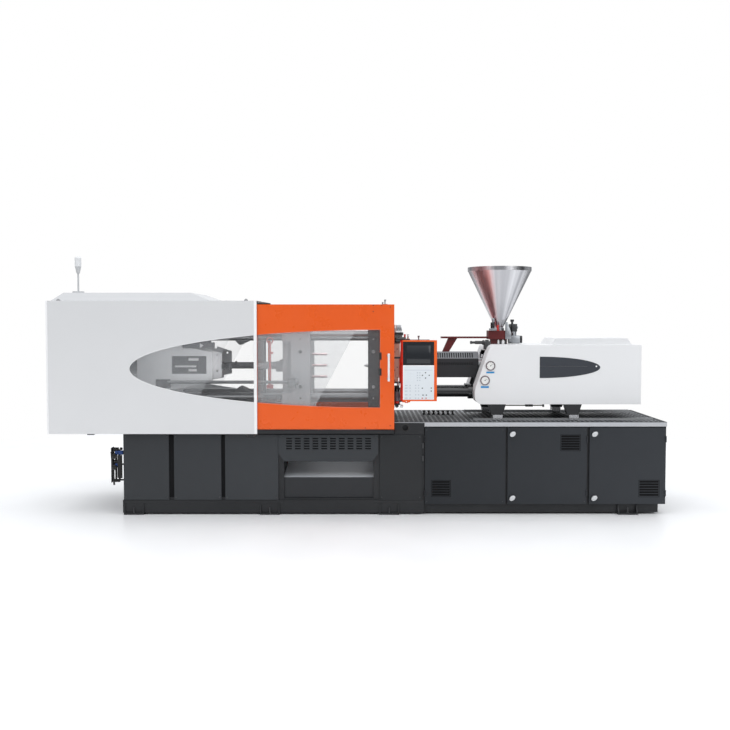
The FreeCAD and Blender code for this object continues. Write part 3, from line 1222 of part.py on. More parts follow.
def hopper():
    """Conical hopper with a rolled rim band and a flanged outlet."""
    t = HOPPER_SHEET
    band_z = HOPPER_RIM_Z - HOPPER_RIM_BAND
    outer = join(cone_z(HOPPER_MOUTH_Z, band_z, HOPPER_X, 0.0, HOPPER_MOUTH_RADIUS, HOPPER_RIM_RADIUS - 4.0),
                 rod_z(band_z, HOPPER_RIM_Z, HOPPER_X, 0.0, HOPPER_RIM_RADIUS))
    neck = rod_z(SLIDE_TOP, HOPPER_MOUTH_Z + 12.0, HOPPER_X, 0.0, HOPPER_MOUTH_RADIUS + 16.0)
    inner = join(cone_z(HOPPER_MOUTH_Z - 1.0, band_z, HOPPER_X, 0.0, HOPPER_MOUTH_RADIUS - t,
                        HOPPER_RIM_RADIUS - 4.0 - t),
                 rod_z(band_z - 0.5, HOPPER_RIM_Z + 1.0, HOPPER_X, 0.0, HOPPER_RIM_RADIUS - 4.0 - t),
                 rod_z(SLIDE_TOP - 1.0, HOPPER_MOUTH_Z + 1.0, HOPPER_X, 0.0, HOPPER_MOUTH_RADIUS - t))
    return cut_each(welded(outer, neck), inner)


def hopper_slide():
    """Block that carries the hopper and slides along the bar."""
    block = box(SLIDE_LEFT, SLIDE_RIGHT, -70.0, 70.0, SLIDE_BOTTOM, SLIDE_TOP)
    groove = box(SLIDE_LEFT - 1.0, SLIDE_RIGHT + 1.0, -BAR_HALF - 0.5, BAR_HALF + 0.5, SLIDE_BOTTOM - 1.0,
                 BAR_TOP + 0.3)
    mouth = rod_z(SLIDE_BOTTOM, SLIDE_TOP + 1.0, HOPPER_X, 0.0, HOPPER_MOUTH_RADIUS - HOPPER_SHEET)
    return cut(block, groove, mouth)


def hopper_bar():
    """Slide bar on its base block, four posts and a slanted brace."""
    bar = box(BAR_LEFT, SLIDE_RIGHT, -BAR_HALF, BAR_HALF, BAR_BOTTOM, BAR_TOP)
    base = box(HOUSING_LEFT + 40.0, HOPPER_X + 66.0, -40.0, 40.0, HOUSING_TOP, BAR_BOTTOM)
    mouth = rod_z(HOUSING_TOP - 1.0, BAR_TOP + 1.0, HOPPER_X, 0.0, FEED_RADIUS)
    brace = plate_xz([(812.0, BAR_BOTTOM), (893.0, BAR_BOTTOM), (819.0, SHROUD_TOP), (759.0, SHROUD_TOP)],
                     -22.0, 22.0)
    return cut(join(bar, base, brace), mouth)


def valve_block():
    """Hydraulic valve cluster beside the hopper, and the lower valve on its other side."""
    base = box(1368.0, 1476.0, -50.0, 70.0, COVER_TOP, 1520.0)
    body = box(1380.0, 1462.0, -38.0, 58.0, 1518.0, 1596.0)
    can = rod_z(1594.0, 1651.0, 1412.0, 10.0, 27.0)
    return join(base, body, can)


def feed_valve():
    body = box(1015.0, 1106.0, -190.0, -100.0, 1396.0, 1470.0)
    stem = rod_x(1100.0, 1137.0, -145.0, 1436.0, 20.0)
    return join(body, stem)


# ---------------------------------------------------------------- operator panel

def panel_housing():
    """Angled housing: the left flank leans in towards a narrower face."""
    front = -PANEL_FRONT
    back = front + PANEL_DEPTH
    chamfer = 24.0
    outline = [(PANEL_FACE_LEFT, front), (PANEL_RIGHT, front), (PANEL_RIGHT, back),
               (PANEL_LEFT + chamfer, back), (PANEL_LEFT, back - chamfer),
               (PANEL_FACE_LEFT, front + PANEL_CHEEK)]
    shell = plate_xy(outline, PANEL_BOTTOM, PANEL_TOP)
    recess = box(SCREEN_LEFT, SCREEN_RIGHT, front - 1.0, front + 6.0, PANEL_TOP - 12.0 - SCREEN_HEIGHT,
                 PANEL_TOP - 12.0)
    button_hole = rod_z(PANEL_TOP - 40.0, PANEL_TOP + 1.0, STOP_X, front + 40.0, STOP_SHAFT + SHAFT_PLAY)
    knuckle = rod_z(PANEL_BOTTOM + 160.0, PANEL_TOP - 160.0, PIVOT_X, back + PIVOT_SETBACK, 14.0)
    wing = box(PIVOT_X, PANEL_LEFT + 78.0, back - 1.0, back + 20.0, PANEL_BOTTOM + 170.0, PANEL_TOP - 170.0)
    pin_hole = rod_z(PANEL_BOTTOM, PANEL_TOP, PIVOT_X, back + PIVOT_SETBACK, HINGE_PIN_RADIUS + SHAFT_PLAY)
    return cut(join(shell, knuckle, wing), recess, button_hole, pin_hole)


def panel_screen():
    front = -PANEL_FRONT
    return box(SCREEN_LEFT + 1.0, SCREEN_RIGHT - 1.0, front + 1.0, front + 6.0,
               PANEL_TOP - 11.0 - SCREEN_HEIGHT, PANEL_TOP - 13.0)


def stop_button():
    """Push knob on top of the panel, standing on its shaft."""
    y = -PANEL_FRONT + 40.0
    shaft = rod_z(PANEL_TOP - 30.0, PANEL_TOP + 26.0, STOP_X, y, STOP_SHAFT)
    return join(shaft, rod_z(PANEL_TOP + 24.0, PANEL_TOP + 38.0, STOP_X, y, STOP_SHAFT + 4.0))


def panel_bracket():
    """Hinge bracket on the guard post with the pin the panel swings on."""
    y = -PANEL_FRONT + PANEL_DEPTH + PIVOT_SETBACK
    post_back = -DOOR_FACE + DOOR_DEPTH + 4.0 + RAIL_DEPTH
    low, high = PANEL_BOTTOM + 140.0, PANEL_TOP - 140.0
    lugs = [box(POST_X - POST_HALF, PIVOT_X + 14.0, post_back, y + 14.0, z - 15.0, z)
            for z in (PANEL_BOTTOM + 159.0, PANEL_TOP - 144.0)]
    pin = rod_z(low, high + 10.0, PIVOT_X, y, HINGE_PIN_RADIUS)
    return join(*lugs, pin)


# ---------------------------------------------------------------- services

def water_manifold():
    """Cooling water fittings on the left end of the bed."""
    x1 = BED_LEFT
    plate = box(x1 - 126.0, x1 - 118.0, -470.0, -390.0, 263.0, 563.0)
    arms = [box(x1 - 120.0, x1, -440.0, -420.0, z - 6.0, z + 6.0) for z in (510.0, 417.0, 280.0)]
    pipes = [rod_z(280.0, 545.0, x1 - x, -430.0, 9.0) for x in (92.0, 62.0)]
    cups = [rod_x(x1 - 112.0, x1 - 70.0, -430.0, z, 19.0) for z in (544.0, 437.0)]
    return join(plate, *arms, *pipes, *cups)


def write_all():
    os.makedirs("parts", exist_ok=True)
    save("clamp_bed", *clamp_bed())
    save("cladding_panels", *cladding(), *both_sides(louvre_panel()))
    save("drop_chute", drop_chute())
    save("feet", *feet())
    save("slide_ways", *slide_ways())
    save("injection_bed", injection_bed())
    save("deck_plate", *deck_plate())
    for index, name in enumerate(("left", "middle", "right")):
        save("cabinet_door_" + name, cabinet_door(index))
    for index, name in ((1, "middle"), (2, "right")):
        for z, place in zip(lock_heights(), ("lower", "upper")):
            save("lock_" + name + "_" + place, door_lock(index, z))
    save("fixed_platen", fixed_platen())
    save("tie_bars", *tie_bars())
    save("guard_front", guard_side())
    save("guard_rear", mirror_y(guard_side()))
    save("guard_roof", *guard_roof())
    save("guard_windows", *both_sides(guard_pane()))
    save("guard_frame", *guard_frame())
    save("beacon_stem", beacon_stem())
    save("beacon_lamp", beacon_lamp())
    save("rear_platen", *rear_platen())
    save("clamp_cylinder", clamp_cylinder())
    save("crosshead", crosshead())
    for name, pieces in (("rear_link", rear_link()), ("front_link", front_link()),
                         ("small_links", small_links())):
        save(name + "_upper", *pieces)
        save(name + "_lower", *[mirror_axis(piece) for piece in pieces])
    save("moving_platen", *moving_platen())
    save("ejector", ejector())
    save("safety_rod", safety_rod())
    for name, flip in (("front", False), ("rear", True)):
        for part_name, piece in (("", join(door_frame(), door_handle())), ("_window", door_pane())):
            save(name + "_door" + part_name, mirror_y(piece) if flip else piece)
    save("injection_housing", injection_housing())
    save("rail_blocks", *rail_blocks())
    save("barrel", barrel(), *heater_bands())
    save("barrel_shroud", barrel_shroud())
    save("injection_drive", injection_drive())
    save("screw", screw())
    save("injection_cover", injection_cover())
    save("cover_windows", *cover_window())
    save("gauges", *gauges())
    save("pull_cylinders", *pull_cylinders())
    save("pull_rods", *pull_rods())
    save("purge_guard", purge_guard())
    save("hopper", *hopper())
    save("hopper_slide", hopper_slide())
    save("hopper_bar", hopper_bar())
    save("valve_blocks", valve_block(), feed_valve())
    save("panel_housing", panel_housing())
    save("panel_screen", panel_screen())
    save("stop_button", stop_button())
    save("hinge_brackets", panel_bracket(), purge_bracket())
    save("water_manifold", water_manifold())


write_all()
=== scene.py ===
import json
import math
import bmesh
import bpy
from mathutils import Matrix, Vector


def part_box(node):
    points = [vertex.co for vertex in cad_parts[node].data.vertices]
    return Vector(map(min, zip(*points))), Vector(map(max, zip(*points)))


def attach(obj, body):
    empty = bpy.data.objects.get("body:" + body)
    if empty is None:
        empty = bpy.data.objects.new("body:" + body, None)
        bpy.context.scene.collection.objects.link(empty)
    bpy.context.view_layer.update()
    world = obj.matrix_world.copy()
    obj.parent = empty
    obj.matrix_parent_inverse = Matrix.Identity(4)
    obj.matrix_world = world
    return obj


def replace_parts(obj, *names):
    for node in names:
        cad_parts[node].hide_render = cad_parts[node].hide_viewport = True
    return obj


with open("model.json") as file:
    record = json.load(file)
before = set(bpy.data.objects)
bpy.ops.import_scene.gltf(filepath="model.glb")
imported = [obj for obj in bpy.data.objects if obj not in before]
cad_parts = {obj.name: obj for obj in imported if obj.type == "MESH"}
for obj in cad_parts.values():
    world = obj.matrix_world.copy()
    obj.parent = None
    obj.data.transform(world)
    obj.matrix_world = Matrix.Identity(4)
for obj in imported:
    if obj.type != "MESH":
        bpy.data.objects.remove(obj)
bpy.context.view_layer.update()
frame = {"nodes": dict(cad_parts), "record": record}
print("frame loaded:", len(frame["nodes"]), "nodes")

# Shapes are in millimetres, and newPiece turns them into metres. Places that a shader reads are in metres.


def span(node):
    low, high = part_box(node)
    return Vector(low) * 1000, Vector(high) * 1000


guardLow, guardHigh = span("guard_front")
doorLow, doorHigh = span("front_door")
deckLow, deckHigh = span("deck_plate")
panelLow = span("panel_housing")[0]
screenLow, screenHigh = span("panel_screen")
coverLow = span("injection_cover")[0]
hopperLow, hopperHigh = span("hopper")
fixedLow = span("fixed_platen")[0]
rearLow, rearHigh = span("rear_platen")
axisHeight = sum(span("tie_bars"), Vector()).z / 2
sides = ((-1, "front"), (1, "rear"))
panelFaceLeft = 369.0


# ---- shader groups, each built once ----

colourKind, numberKind = "NodeSocketColor", "NodeSocketFloat"


def startGroup(name, inputs):
    group = bpy.data.node_groups.new(name, "ShaderNodeTree")
    fixed = [("Colour", colourKind), ("Shade", colourKind), ("Smooth", numberKind), ("Rough", numberKind)]
    for label, kind in fixed + inputs:
        group.interface.new_socket(name=label, in_out="INPUT", socket_type=kind)
    for label, kind in (("Colour", colourKind), ("Roughness", numberKind), ("Height", numberKind)):
        group.interface.new_socket(name=label, in_out="OUTPUT", socket_type=kind)
    return group, group.nodes.new("NodeGroupInput").outputs


def finishGroup(group, given, mask, gloss, height):
    made = group.nodes.new("NodeGroupOutput").inputs
    lowest, highest, grain = gloss
    group.links.new(blendColours(group, mask, given["Colour"], given["Shade"]), made["Colour"])
    group.links.new(spreadNode(group, grain, lowest, highest, given["Smooth"], given["Rough"]),
                    made["Roughness"])
    group.links.new(height, made["Height"])
    return group


def setSocket(tree, socket, value):
    if isinstance(value, (int, float)):
        socket.default_value = value
    elif isinstance(value, tuple):
        socket.default_value = value if len(value) == 4 else (*value, 1.0)
    else:
        tree.links.new(value, socket)


def mathNode(tree, operation, first, second=None):
    node = tree.nodes.new("ShaderNodeMath")
    node.operation = operation
    setSocket(tree, node.inputs[0], first)
    if second is not None:
        setSocket(tree, node.inputs[1], second)
    return node.outputs[0]


def noiseNode(tree, vector, scale, detail=3.0, roughness=0.55):
    node = tree.nodes.new("ShaderNodeTexNoise")
    for label, value in (("Detail", detail), ("Roughness", roughness), ("Vector", vector), ("Scale", scale)):
        setSocket(tree, node.inputs[label], value)
    return node.outputs["Fac"]


def spreadNode(tree, value, low, high, toLow=0.0, toHigh=1.0):
    node = tree.nodes.new("ShaderNodeMapRange")
    node.clamp = True
    places = (("Value", value), ("From Min", low), ("From Max", high), ("To Min", toLow), ("To Max", toHigh))
    for label, number in places:
        setSocket(tree, node.inputs[label], number)
    return node.outputs["Result"]


def blendColours(tree, mask, first, second):
    node = tree.nodes.new("ShaderNodeMix")
    node.data_type = "RGBA"
    for socket, value in ((node.inputs["Factor"], mask), (node.inputs[6], first), (node.inputs[7], second)):
        setSocket(tree, socket, value)
    return node.outputs[2]


def objectPoint(tree):
    return tree.nodes.new("ShaderNodeTexCoord").outputs["Object"]


def buildCoatGroup():
    group, given = startGroup("coatTexture", [("Patch Scale", numberKind), ("Peel Scale", numberKind)])
    point = objectPoint(group)
    patch = spreadNode(group, noiseNode(group, point, given["Patch Scale"], 4.0), 0.34, 0.66)
    smudge = noiseNode(group, point, 7.0, 6.0, 0.62)
    peel = noiseNode(group, point, given["Peel Scale"], 2.0)
    return finishGroup(group, given, patch, (0.36, 0.68, smudge), peel)


def buildBrushGroup():
    group, given = startGroup("brushLines", [("Stretch", "NodeSocketVector")])
    scaled = group.nodes.new("ShaderNodeVectorMath")
    scaled.operation = "MULTIPLY"
    group.links.new(objectPoint(group), scaled.inputs[0])
    group.links.new(given["Stretch"], scaled.inputs[1])
    lines = noiseNode(group, scaled.outputs[0], 1.0, 5.0, 0.7)
    stain = spreadNode(group, noiseNode(group, objectPoint(group), 5.0, 5.0), 0.35, 0.7)
    return finishGroup(group, given, mathNode(group, "MULTIPLY", lines, stain), (0.3, 0.7, lines), lines)


def buildCastGroup():
    group, given = startGroup("castSkin", [])
    point = objectPoint(group)
    sand = noiseNode(group, point, 90.0, 5.0, 0.65)
    stain = spreadNode(group, noiseNode(group, point, 3.5, 5.0, 0.6), 0.35, 0.7)
    return finishGroup(group, given, stain, (0.3, 0.7, sand), sand)


coatGroup = buildCoatGroup()
brushGroup = buildBrushGroup()
castGroup = buildCastGroup()


# ---- finishes ----

def startMaterial(name, metallic=0.0, roughness=0.4, colour=(0.5, 0.5, 0.5)):
    material = bpy.data.materials.new(name)
    material.use_nodes = True
    shader = material.node_tree.nodes["Principled BSDF"]
    shader.inputs["Metallic"].default_value = metallic
    shader.inputs["Roughness"].default_value = roughness
    shader.inputs["Base Color"].default_value = (*colour, 1.0)
    return material, material.node_tree, shader


def useGroup(tree, group, values):
    node = tree.nodes.new("ShaderNodeGroup")
    node.node_tree = group
    for label, value in values.items():
        if label == "Stretch":
            node.inputs[label].default_value = value
        else:
            setSocket(tree, node.inputs[label], value)
    return node.outputs


def coatSkin(tree, colour, shade, smooth, rough, patch, peel):
    return useGroup(tree, coatGroup, {"Colour": colour, "Shade": shade, "Smooth": smooth, "Rough": rough,
                                      "Patch Scale": patch, "Peel Scale": peel})


def bumpFrom(tree, shader, height, strength, distance):
    bump = tree.nodes.new("ShaderNodeBump")
    for label, value in (("Strength", strength), ("Distance", distance), ("Height", height)):
        setSocket(tree, bump.inputs[label], value)
    tree.links.new(bump.outputs["Normal"], shader.inputs["Normal"])


def dress(made, skin, bump, depth, colour=None, coat=0.0, specular=0.5):
    material, tree, shader = made
    tree.links.new(colour or skin["Colour"], shader.inputs["Base Color"])
    tree.links.new(skin["Roughness"], shader.inputs["Roughness"])
    shader.inputs["Coat Weight"].default_value = coat
    shader.inputs["Specular IOR Level"].default_value = specular
    bumpFrom(tree, shader, skin["Height"], bump, depth)
    return material


def coated(name, colour, shade, smooth=0.3, rough=0.42, patch=1.2, peel=260.0, coat=0.0, specular=0.5):
    made = startMaterial(name)
    skin = coatSkin(made[1], colour, shade, smooth, rough, patch, peel)
    return dress(made, skin, 0.06, 0.0006, coat=coat, specular=specular)


def brushed(name, colour, shade, stretch=(4.0, 300.0, 300.0), smooth=0.2, rough=0.4, bump=0.05):
    made = startMaterial(name, metallic=1.0)
    values = {"Colour": colour, "Shade": shade, "Stretch": stretch, "Smooth": smooth, "Rough": rough}
    return dress(made, useGroup(made[1], brushGroup, values), bump, 0.0004)


def cast(name, colour, shade, smooth=0.42, rough=0.62):
    made = startMaterial(name)
    values = {"Colour": colour, "Shade": shade, "Smooth": smooth, "Rough": rough}
    return dress(made, useGroup(made[1], castGroup, values), 0.06, 0.001)


def axisOf(tree, axis):
    split = tree.nodes.new("ShaderNodeSeparateXYZ")
    tree.links.new(objectPoint(tree), split.inputs[0])
    return split.outputs[axis]


def stepAt(tree, value, edge, width=0.0008):
    return spreadNode(tree, value, edge - width, edge + width)


whitePaint = coated("whiteGuardPaint", (0.7, 0.703, 0.708), (0.665, 0.669, 0.676), 0.34, 0.48, patch=0.5,
                    specular=0.35)
# roof white: a darker copy of the guard white, painted shade on the top of the guard
shadedRoofPaint = coated("whiteRoofPaintShaded", (0.58, 0.583, 0.59), (0.54, 0.544, 0.552), 0.5, 0.62, patch=0.6,
                   specular=0.2)
coverPaint = coated("whiteCoverPaint", (0.8, 0.803, 0.808), (0.77, 0.774, 0.78), 0.34, 0.48, patch=0.5,
                    specular=0.35)
# brighter copy of the guard white: painted highlight on the guard rims and the cover window dot, painted
# light in the cheek slots and hole, and the white of the keypad rim and feed posts
whiteAndHighlightPaint = coated("whiteEdgeAndHighlightPaint", (0.9, 0.9, 0.9), (0.86, 0.86, 0.87), 0.3, 0.4, patch=0.8)
blackPaint = coated("bedBlackPaint", (0.021, 0.023, 0.026), (0.03, 0.032, 0.036), 0.34, 0.5, patch=0.9,
                    specular=0.42)
plinthPaint = coated("plinthBlackPaint", (0.014, 0.015, 0.017), (0.02, 0.021, 0.023), 0.42, 0.6,
                     specular=0.35)
darkEnamel = coated("darkEnamel", (0.05, 0.052, 0.055), (0.035, 0.036, 0.038), 0.3, 0.5, peel=140.0)
glossBlack = coated("glossBlack", (0.008, 0.008, 0.009), (0.012, 0.012, 0.013), 0.12, 0.25, coat=0.4)
rubberBlack = coated("rubberBlack", (0.012, 0.012, 0.012), (0.02, 0.02, 0.02), 0.6, 0.8, peel=400.0)
darkRedPaint = coated("darkRedPaint", (0.13, 0.012, 0.012), (0.085, 0.008, 0.009), 0.28, 0.42)
# salmon raised in brightness against the shade between door and panel: partly its own colour, partly painted
# light
salmonPaintBrightened = coated("salmonPaintBrightened", (0.98, 0.53, 0.42), (0.95, 0.47, 0.36), 0.35, 0.5)
redPaint = coated("safetyRedPaint", (0.6, 0.03, 0.02), (0.5, 0.02, 0.015), 0.25, 0.4)
bluePaint = coated("fittingBlue", (0.012, 0.07, 0.3), (0.01, 0.05, 0.22), 0.25, 0.4)
labelBlue = coated("labelBlue", (0.012, 0.27, 0.62), (0.01, 0.24, 0.56), 0.35, 0.45)
lampGrey = coated("lampGrey", (0.62, 0.63, 0.64), (0.56, 0.57, 0.58), 0.3, 0.45)
keyPlate = coated("keypadFilm", (0.72, 0.76, 0.79), (0.69, 0.73, 0.765), 0.35, 0.45, peel=700.0)
keyGrey = coated("keyCap", (0.74, 0.78, 0.82), (0.7, 0.74, 0.79), 0.3, 0.4)
keyDark = coated("keyCapDark", (0.05, 0.055, 0.07), (0.04, 0.045, 0.06), 0.3, 0.4)
dialWhite = coated("dialWhite", (0.82, 0.82, 0.8), (0.78, 0.78, 0.76), 0.3, 0.4)
castGrey = cast("platenEnamel", (0.37, 0.378, 0.39), (0.3, 0.308, 0.32))
# light grey cheek enamel raised near white against the shade inside the guard: partly its own colour, partly
# painted light
cheekGreyLightened = cast("cheekEnamelLightened", (0.92, 0.93, 0.94), (0.86, 0.87, 0.88))
fixedGrey = cast("fixedPlatenEnamel", (0.052, 0.055, 0.058), (0.04, 0.042, 0.045))
linkCast = cast("linkEnamel", (0.14, 0.145, 0.15), (0.1, 0.103, 0.108), 0.38, 0.55)
groundSteel = brushed("groundSteel", (0.56, 0.57, 0.58), (0.4, 0.41, 0.42))
chromeBar = brushed("chromedBar", (0.22, 0.224, 0.228), (0.15, 0.153, 0.156), (2.0, 60.0, 60.0), 0.26, 0.4,
                    0.02)
brightSteel = brushed("brightSteel", (0.78, 0.78, 0.8), (0.62, 0.62, 0.64), (60.0, 60.0, 60.0), 0.14, 0.26,
                      0.02)
valveMetal = brushed("valveMetal", (0.42, 0.44, 0.46), (0.3, 0.31, 0.33), (40.0, 40.0, 40.0), 0.28, 0.45)
boltSteel = brushed("boltSteel", (0.45, 0.45, 0.46), (0.3, 0.3, 0.31), (90.0, 90.0, 90.0), 0.25, 0.4)
pedestalBlack = coated("pedestalBlack", (0.014, 0.0145, 0.016), (0.02, 0.021, 0.023), 0.3, 0.5, patch=2.0)
# near black with little shine: painted shade for the panel gaps, the louvre slots and the cabinet vents
ventShadeBlack = coated("ventShadeBlack", (0.004, 0.0042, 0.005), (0.006, 0.0062, 0.007), 0.5, 0.7, specular=0.1)
knobSilver = coated("knobSilver", (0.62, 0.63, 0.64), (0.56, 0.57, 0.58), 0.22, 0.34, patch=8.0)
fadedRed = coated("fadedRedPaint", (0.62, 0.13, 0.12), (0.54, 0.1, 0.095), 0.3, 0.45)
slateEnamel = coated("slateEnamel", (0.11, 0.112, 0.118), (0.08, 0.082, 0.088), 0.4, 0.6, specular=0.3)
mauveEnamel = coated("mauveEnamel", (0.16, 0.125, 0.14), (0.1, 0.08, 0.09), 0.35, 0.5)
keyDim = coated("keyMark", (0.5, 0.54, 0.59), (0.45, 0.49, 0.54), 0.35, 0.45, peel=700.0)
rimSteel = brushed("rimSteel", (0.8, 0.8, 0.81), (0.66, 0.66, 0.68), (60.0, 60.0, 60.0), 0.2, 0.32, 0.02)
ejectorSteel = brushed("ejectorSteel", (0.78, 0.62, 0.62), (0.6, 0.48, 0.48), (3.0, 120.0, 120.0), 0.2, 0.35)


# orange tones: handle is a flat bright white, painted reflection on the silver handle; flank is a darker red,
# painted shade on the panel's left side
orangeTones = {"main": (0.8, 0.105, 0.008), "warm": (0.83, 0.122, 0.013), "handle": (0.86, 0.86, 0.87),
               "flank": (0.62, 0.02, 0.006), "handleDepth": 0.0615, "flankShadeWidth": 0.0085}


def makeDoorOrange():
    made = startMaterial("doorOrange")
    tree = made[1]
    skin = coatSkin(tree, orangeTones["main"], orangeTones["warm"], 0.26, 0.36, 0.7, 260.0)
    # the handle band takes a flat bright white: a real silver handle with its reflection painted in
    proud = mathNode(tree, "ABSOLUTE", axisOf(tree, "Y"))
    handle = stepAt(tree, proud, -doorLow.y / 1000 - orangeTones["handleDepth"])
    colour = blendColours(tree, handle, skin["Colour"], orangeTones["handle"])
    return dress(made, skin, 0.05, 0.0005, colour, coat=0.15)


def makePanelOrange():
    made = startMaterial("panelOrange")
    tree = made[1]
    skin = coatSkin(tree, orangeTones["main"], orangeTones["warm"], 0.26, 0.36, 1.5, 300.0)
    # left flank and an 8 mm strip of the front face in a darker red: painted shade on the side of the orange
    # housing
    right = stepAt(tree, axisOf(tree, "X"), panelFaceLeft / 1000 + orangeTones["flankShadeWidth"])
    colour = blendColours(tree, mathNode(tree, "SUBTRACT", 1.0, right), skin["Colour"], orangeTones["flank"])
    return dress(made, skin, 0.05, 0.0005, colour)


paintPlaces = {"bedFrom": -2.0, "bedTo": -0.7, "bedRight": 0.17, "cabinetFrom": 0.55, "cabinetTo": 2.6,
               "chuteFront": -0.5165, "shoulder": 1.322}


def placedPaint(name, first, second, mask, smooth=0.34, rough=0.48, specular=0.4):
    made = startMaterial(name)
    tint = blendColours(made[1], mask(made[1]), first, second)
    return dress(made, coatSkin(made[1], tint, tint, smooth, rough, 0.9, 260.0), 0.05, 0.0005,
                 specular=specular)


def bedMask(tree):
    along = spreadNode(tree, axisOf(tree, "X"), paintPlaces["bedFrom"], paintPlaces["bedTo"])
    left = mathNode(tree, "SUBTRACT", 1.0, stepAt(tree, axisOf(tree, "X"), paintPlaces["bedRight"]))
    lift = mathNode(tree, "ADD", mathNode(tree, "MULTIPLY", along, 0.3), 0.7)
    return mathNode(tree, "MULTIPLY", left, lift)


def cabinetMask(tree):
    return spreadNode(tree, axisOf(tree, "X"), paintPlaces["cabinetFrom"], paintPlaces["cabinetTo"])


def stepMask(axis, place):
    return lambda tree: stepAt(tree, axisOf(tree, axis), paintPlaces[place])


deckLook = {"top": (0.035, 0.037, 0.04), "worn": (0.05, 0.053, 0.057), "edge": (0.5, 0.51, 0.53),
            "edgeDrop": 0.0025}


def makeDeckSteel():
    made = startMaterial("deckSteel")
    tree = made[1]
    skin = coatSkin(tree, deckLook["top"], deckLook["worn"], 0.55, 0.7, 3.0, 200.0)
    below = mathNode(tree, "SUBTRACT", 1.0, stepAt(tree, axisOf(tree, "Z"),
                                                   deckHigh.z / 1000 - deckLook["edgeDrop"]))
    tree.links.new(mathNode(tree, "MULTIPLY", below, 0.35), made[2].inputs["Metallic"])
    colour = blendColours(tree, below, skin["Colour"], deckLook["edge"])
    return dress(made, skin, 0.1, 0.0006, colour, specular=0.15)


# hopper colours are painted reflections on the polished steel: bright, dark and reddish
hopperReflectionTones = {"bright": (0.86, 0.86, 0.88), "dark": (0.42, 0.42, 0.44), "warm": (0.88, 0.4, 0.41)}


def makeHopperSteel():
    material, tree, shader = startMaterial("hopperSteel", metallic=1.0)
    centre = (hopperLow + hopperHigh) / 2000
    place = tree.nodes.new("ShaderNodeMapping")
    place.vector_type = "POINT"
    place.inputs["Location"].default_value = (-centre.x, -centre.y, 0.0)
    tree.links.new(objectPoint(tree), place.inputs["Vector"])
    split = tree.nodes.new("ShaderNodeSeparateXYZ")
    tree.links.new(place.outputs["Vector"], split.inputs[0])
    turn = mathNode(tree, "ARCTAN2", split.outputs["Y"], split.outputs["X"])
    ring = tree.nodes.new("ShaderNodeCombineXYZ")
    tree.links.new(turn, ring.inputs["X"])
    # bright and dark streaks round the hopper: painted reflections
    reflectionStreak = spreadNode(tree, noiseNode(tree, ring.outputs[0], 2.6, 3.0, 0.6), 0.36, 0.64)
    fine = noiseNode(tree, ring.outputs[0], 60.0, 3.0, 0.6)
    colour = blendColours(tree, reflectionStreak, hopperReflectionTones["bright"], hopperReflectionTones["dark"])
    # reddish tint towards the front left: painted reflection of the red and orange parts
    warm = spreadNode(tree, mathNode(tree, "ABSOLUTE", mathNode(tree, "ADD", turn, 2.35)), 0.5, 0.12)
    colour = blendColours(tree, mathNode(tree, "MULTIPLY", warm, 0.75), colour, hopperReflectionTones["warm"])
    # dark band on the front: painted reflection
    front = spreadNode(tree, mathNode(tree, "ABSOLUTE", mathNode(tree, "ADD", turn, 1.57)), 0.42, 0.05)
    colour = blendColours(tree, mathNode(tree, "MULTIPLY", front, 0.95), colour, hopperReflectionTones["dark"])
    tree.links.new(colour, shader.inputs["Base Color"])
    tree.links.new(spreadNode(tree, fine, 0.3, 0.7, 0.24, 0.38), shader.inputs["Roughness"])
    bumpFrom(tree, shader, fine, 0.04, 0.0003)
    return material


def clearSheet(name, colour, alpha, reflectionStreak=None, roughness=0.06):
    material, tree, shader = startMaterial(name, roughness=roughness, colour=colour)
    shader.inputs["Specular IOR Level"].default_value = 0.5
    if reflectionStreak is None:
        shader.inputs["Alpha"].default_value = alpha
        return material
    # whiter veil on one side of a leaning line, its weight added to the alpha: painted reflection of a studio
    # light on the glass
    height = mathNode(tree, "MULTIPLY", axisOf(tree, "Z"), reflectionStreak["lean"])
    lean = mathNode(tree, "SUBTRACT", axisOf(tree, "X"), height)
    reflectionVeil = mathNode(tree, "SUBTRACT", 1.0, stepAt(tree, lean, reflectionStreak["place"], 0.002))
    haze = noiseNode(tree, objectPoint(tree), 2.0, 3.0)
    film = mathNode(tree, "ADD", mathNode(tree, "MULTIPLY", reflectionVeil, reflectionStreak["weight"]), alpha)
    tree.links.new(mathNode(tree, "ADD", film, mathNode(tree, "MULTIPLY", haze, 0.02)),
                   shader.inputs["Alpha"])
    return material


def screenSheet(name, roughness, colours, coat=0.0, rise=None):
    material, tree, shader = startMaterial(name, roughness=roughness)
    shader.inputs["Coat Weight"].default_value = coat
    if rise is None:
        haze = noiseNode(tree, objectPoint(tree), 14.0, 4.0)
    else:
        haze = spreadNode(tree, axisOf(tree, "Z"), *rise)
    tree.links.new(blendColours(tree, haze, *colours), shader.inputs["Base Color"])
    return material


doorOrange = makeDoorOrange()
panelOrange = makePanelOrange()
deckSteel = makeDeckSteel()
hopperSteel = makeHopperSteel()
# door and guard panes carry the painted reflection veil
doorGlass = clearSheet("doorGlass", (0.85, 0.87, 0.88), 0.03, {"lean": 0.53, "place": -0.86, "weight": 0.13})
guardGlass = clearSheet("guardGlass", (0.8, 0.82, 0.84), 0.03,
                        {"lean": 0.53, "place": -1.885, "weight": 0.07})
smokedGlass = clearSheet("smokedGlass", (0.055, 0.06, 0.07), 0.96)
lensGlass = clearSheet("lensGlass", (0.8, 0.81, 0.82), 1.0, roughness=0.3)
screenGlass = screenSheet("screenGlass", 0.12, ((0.010, 0.011, 0.014), (0.018, 0.02, 0.024)), coat=0.5)
displayGlass = screenSheet("displayGlass", 0.1, ((0.012, 0.014, 0.017), (0.026, 0.029, 0.034)),
                           rise=(screenLow.z / 1000, screenHigh.z / 1000))

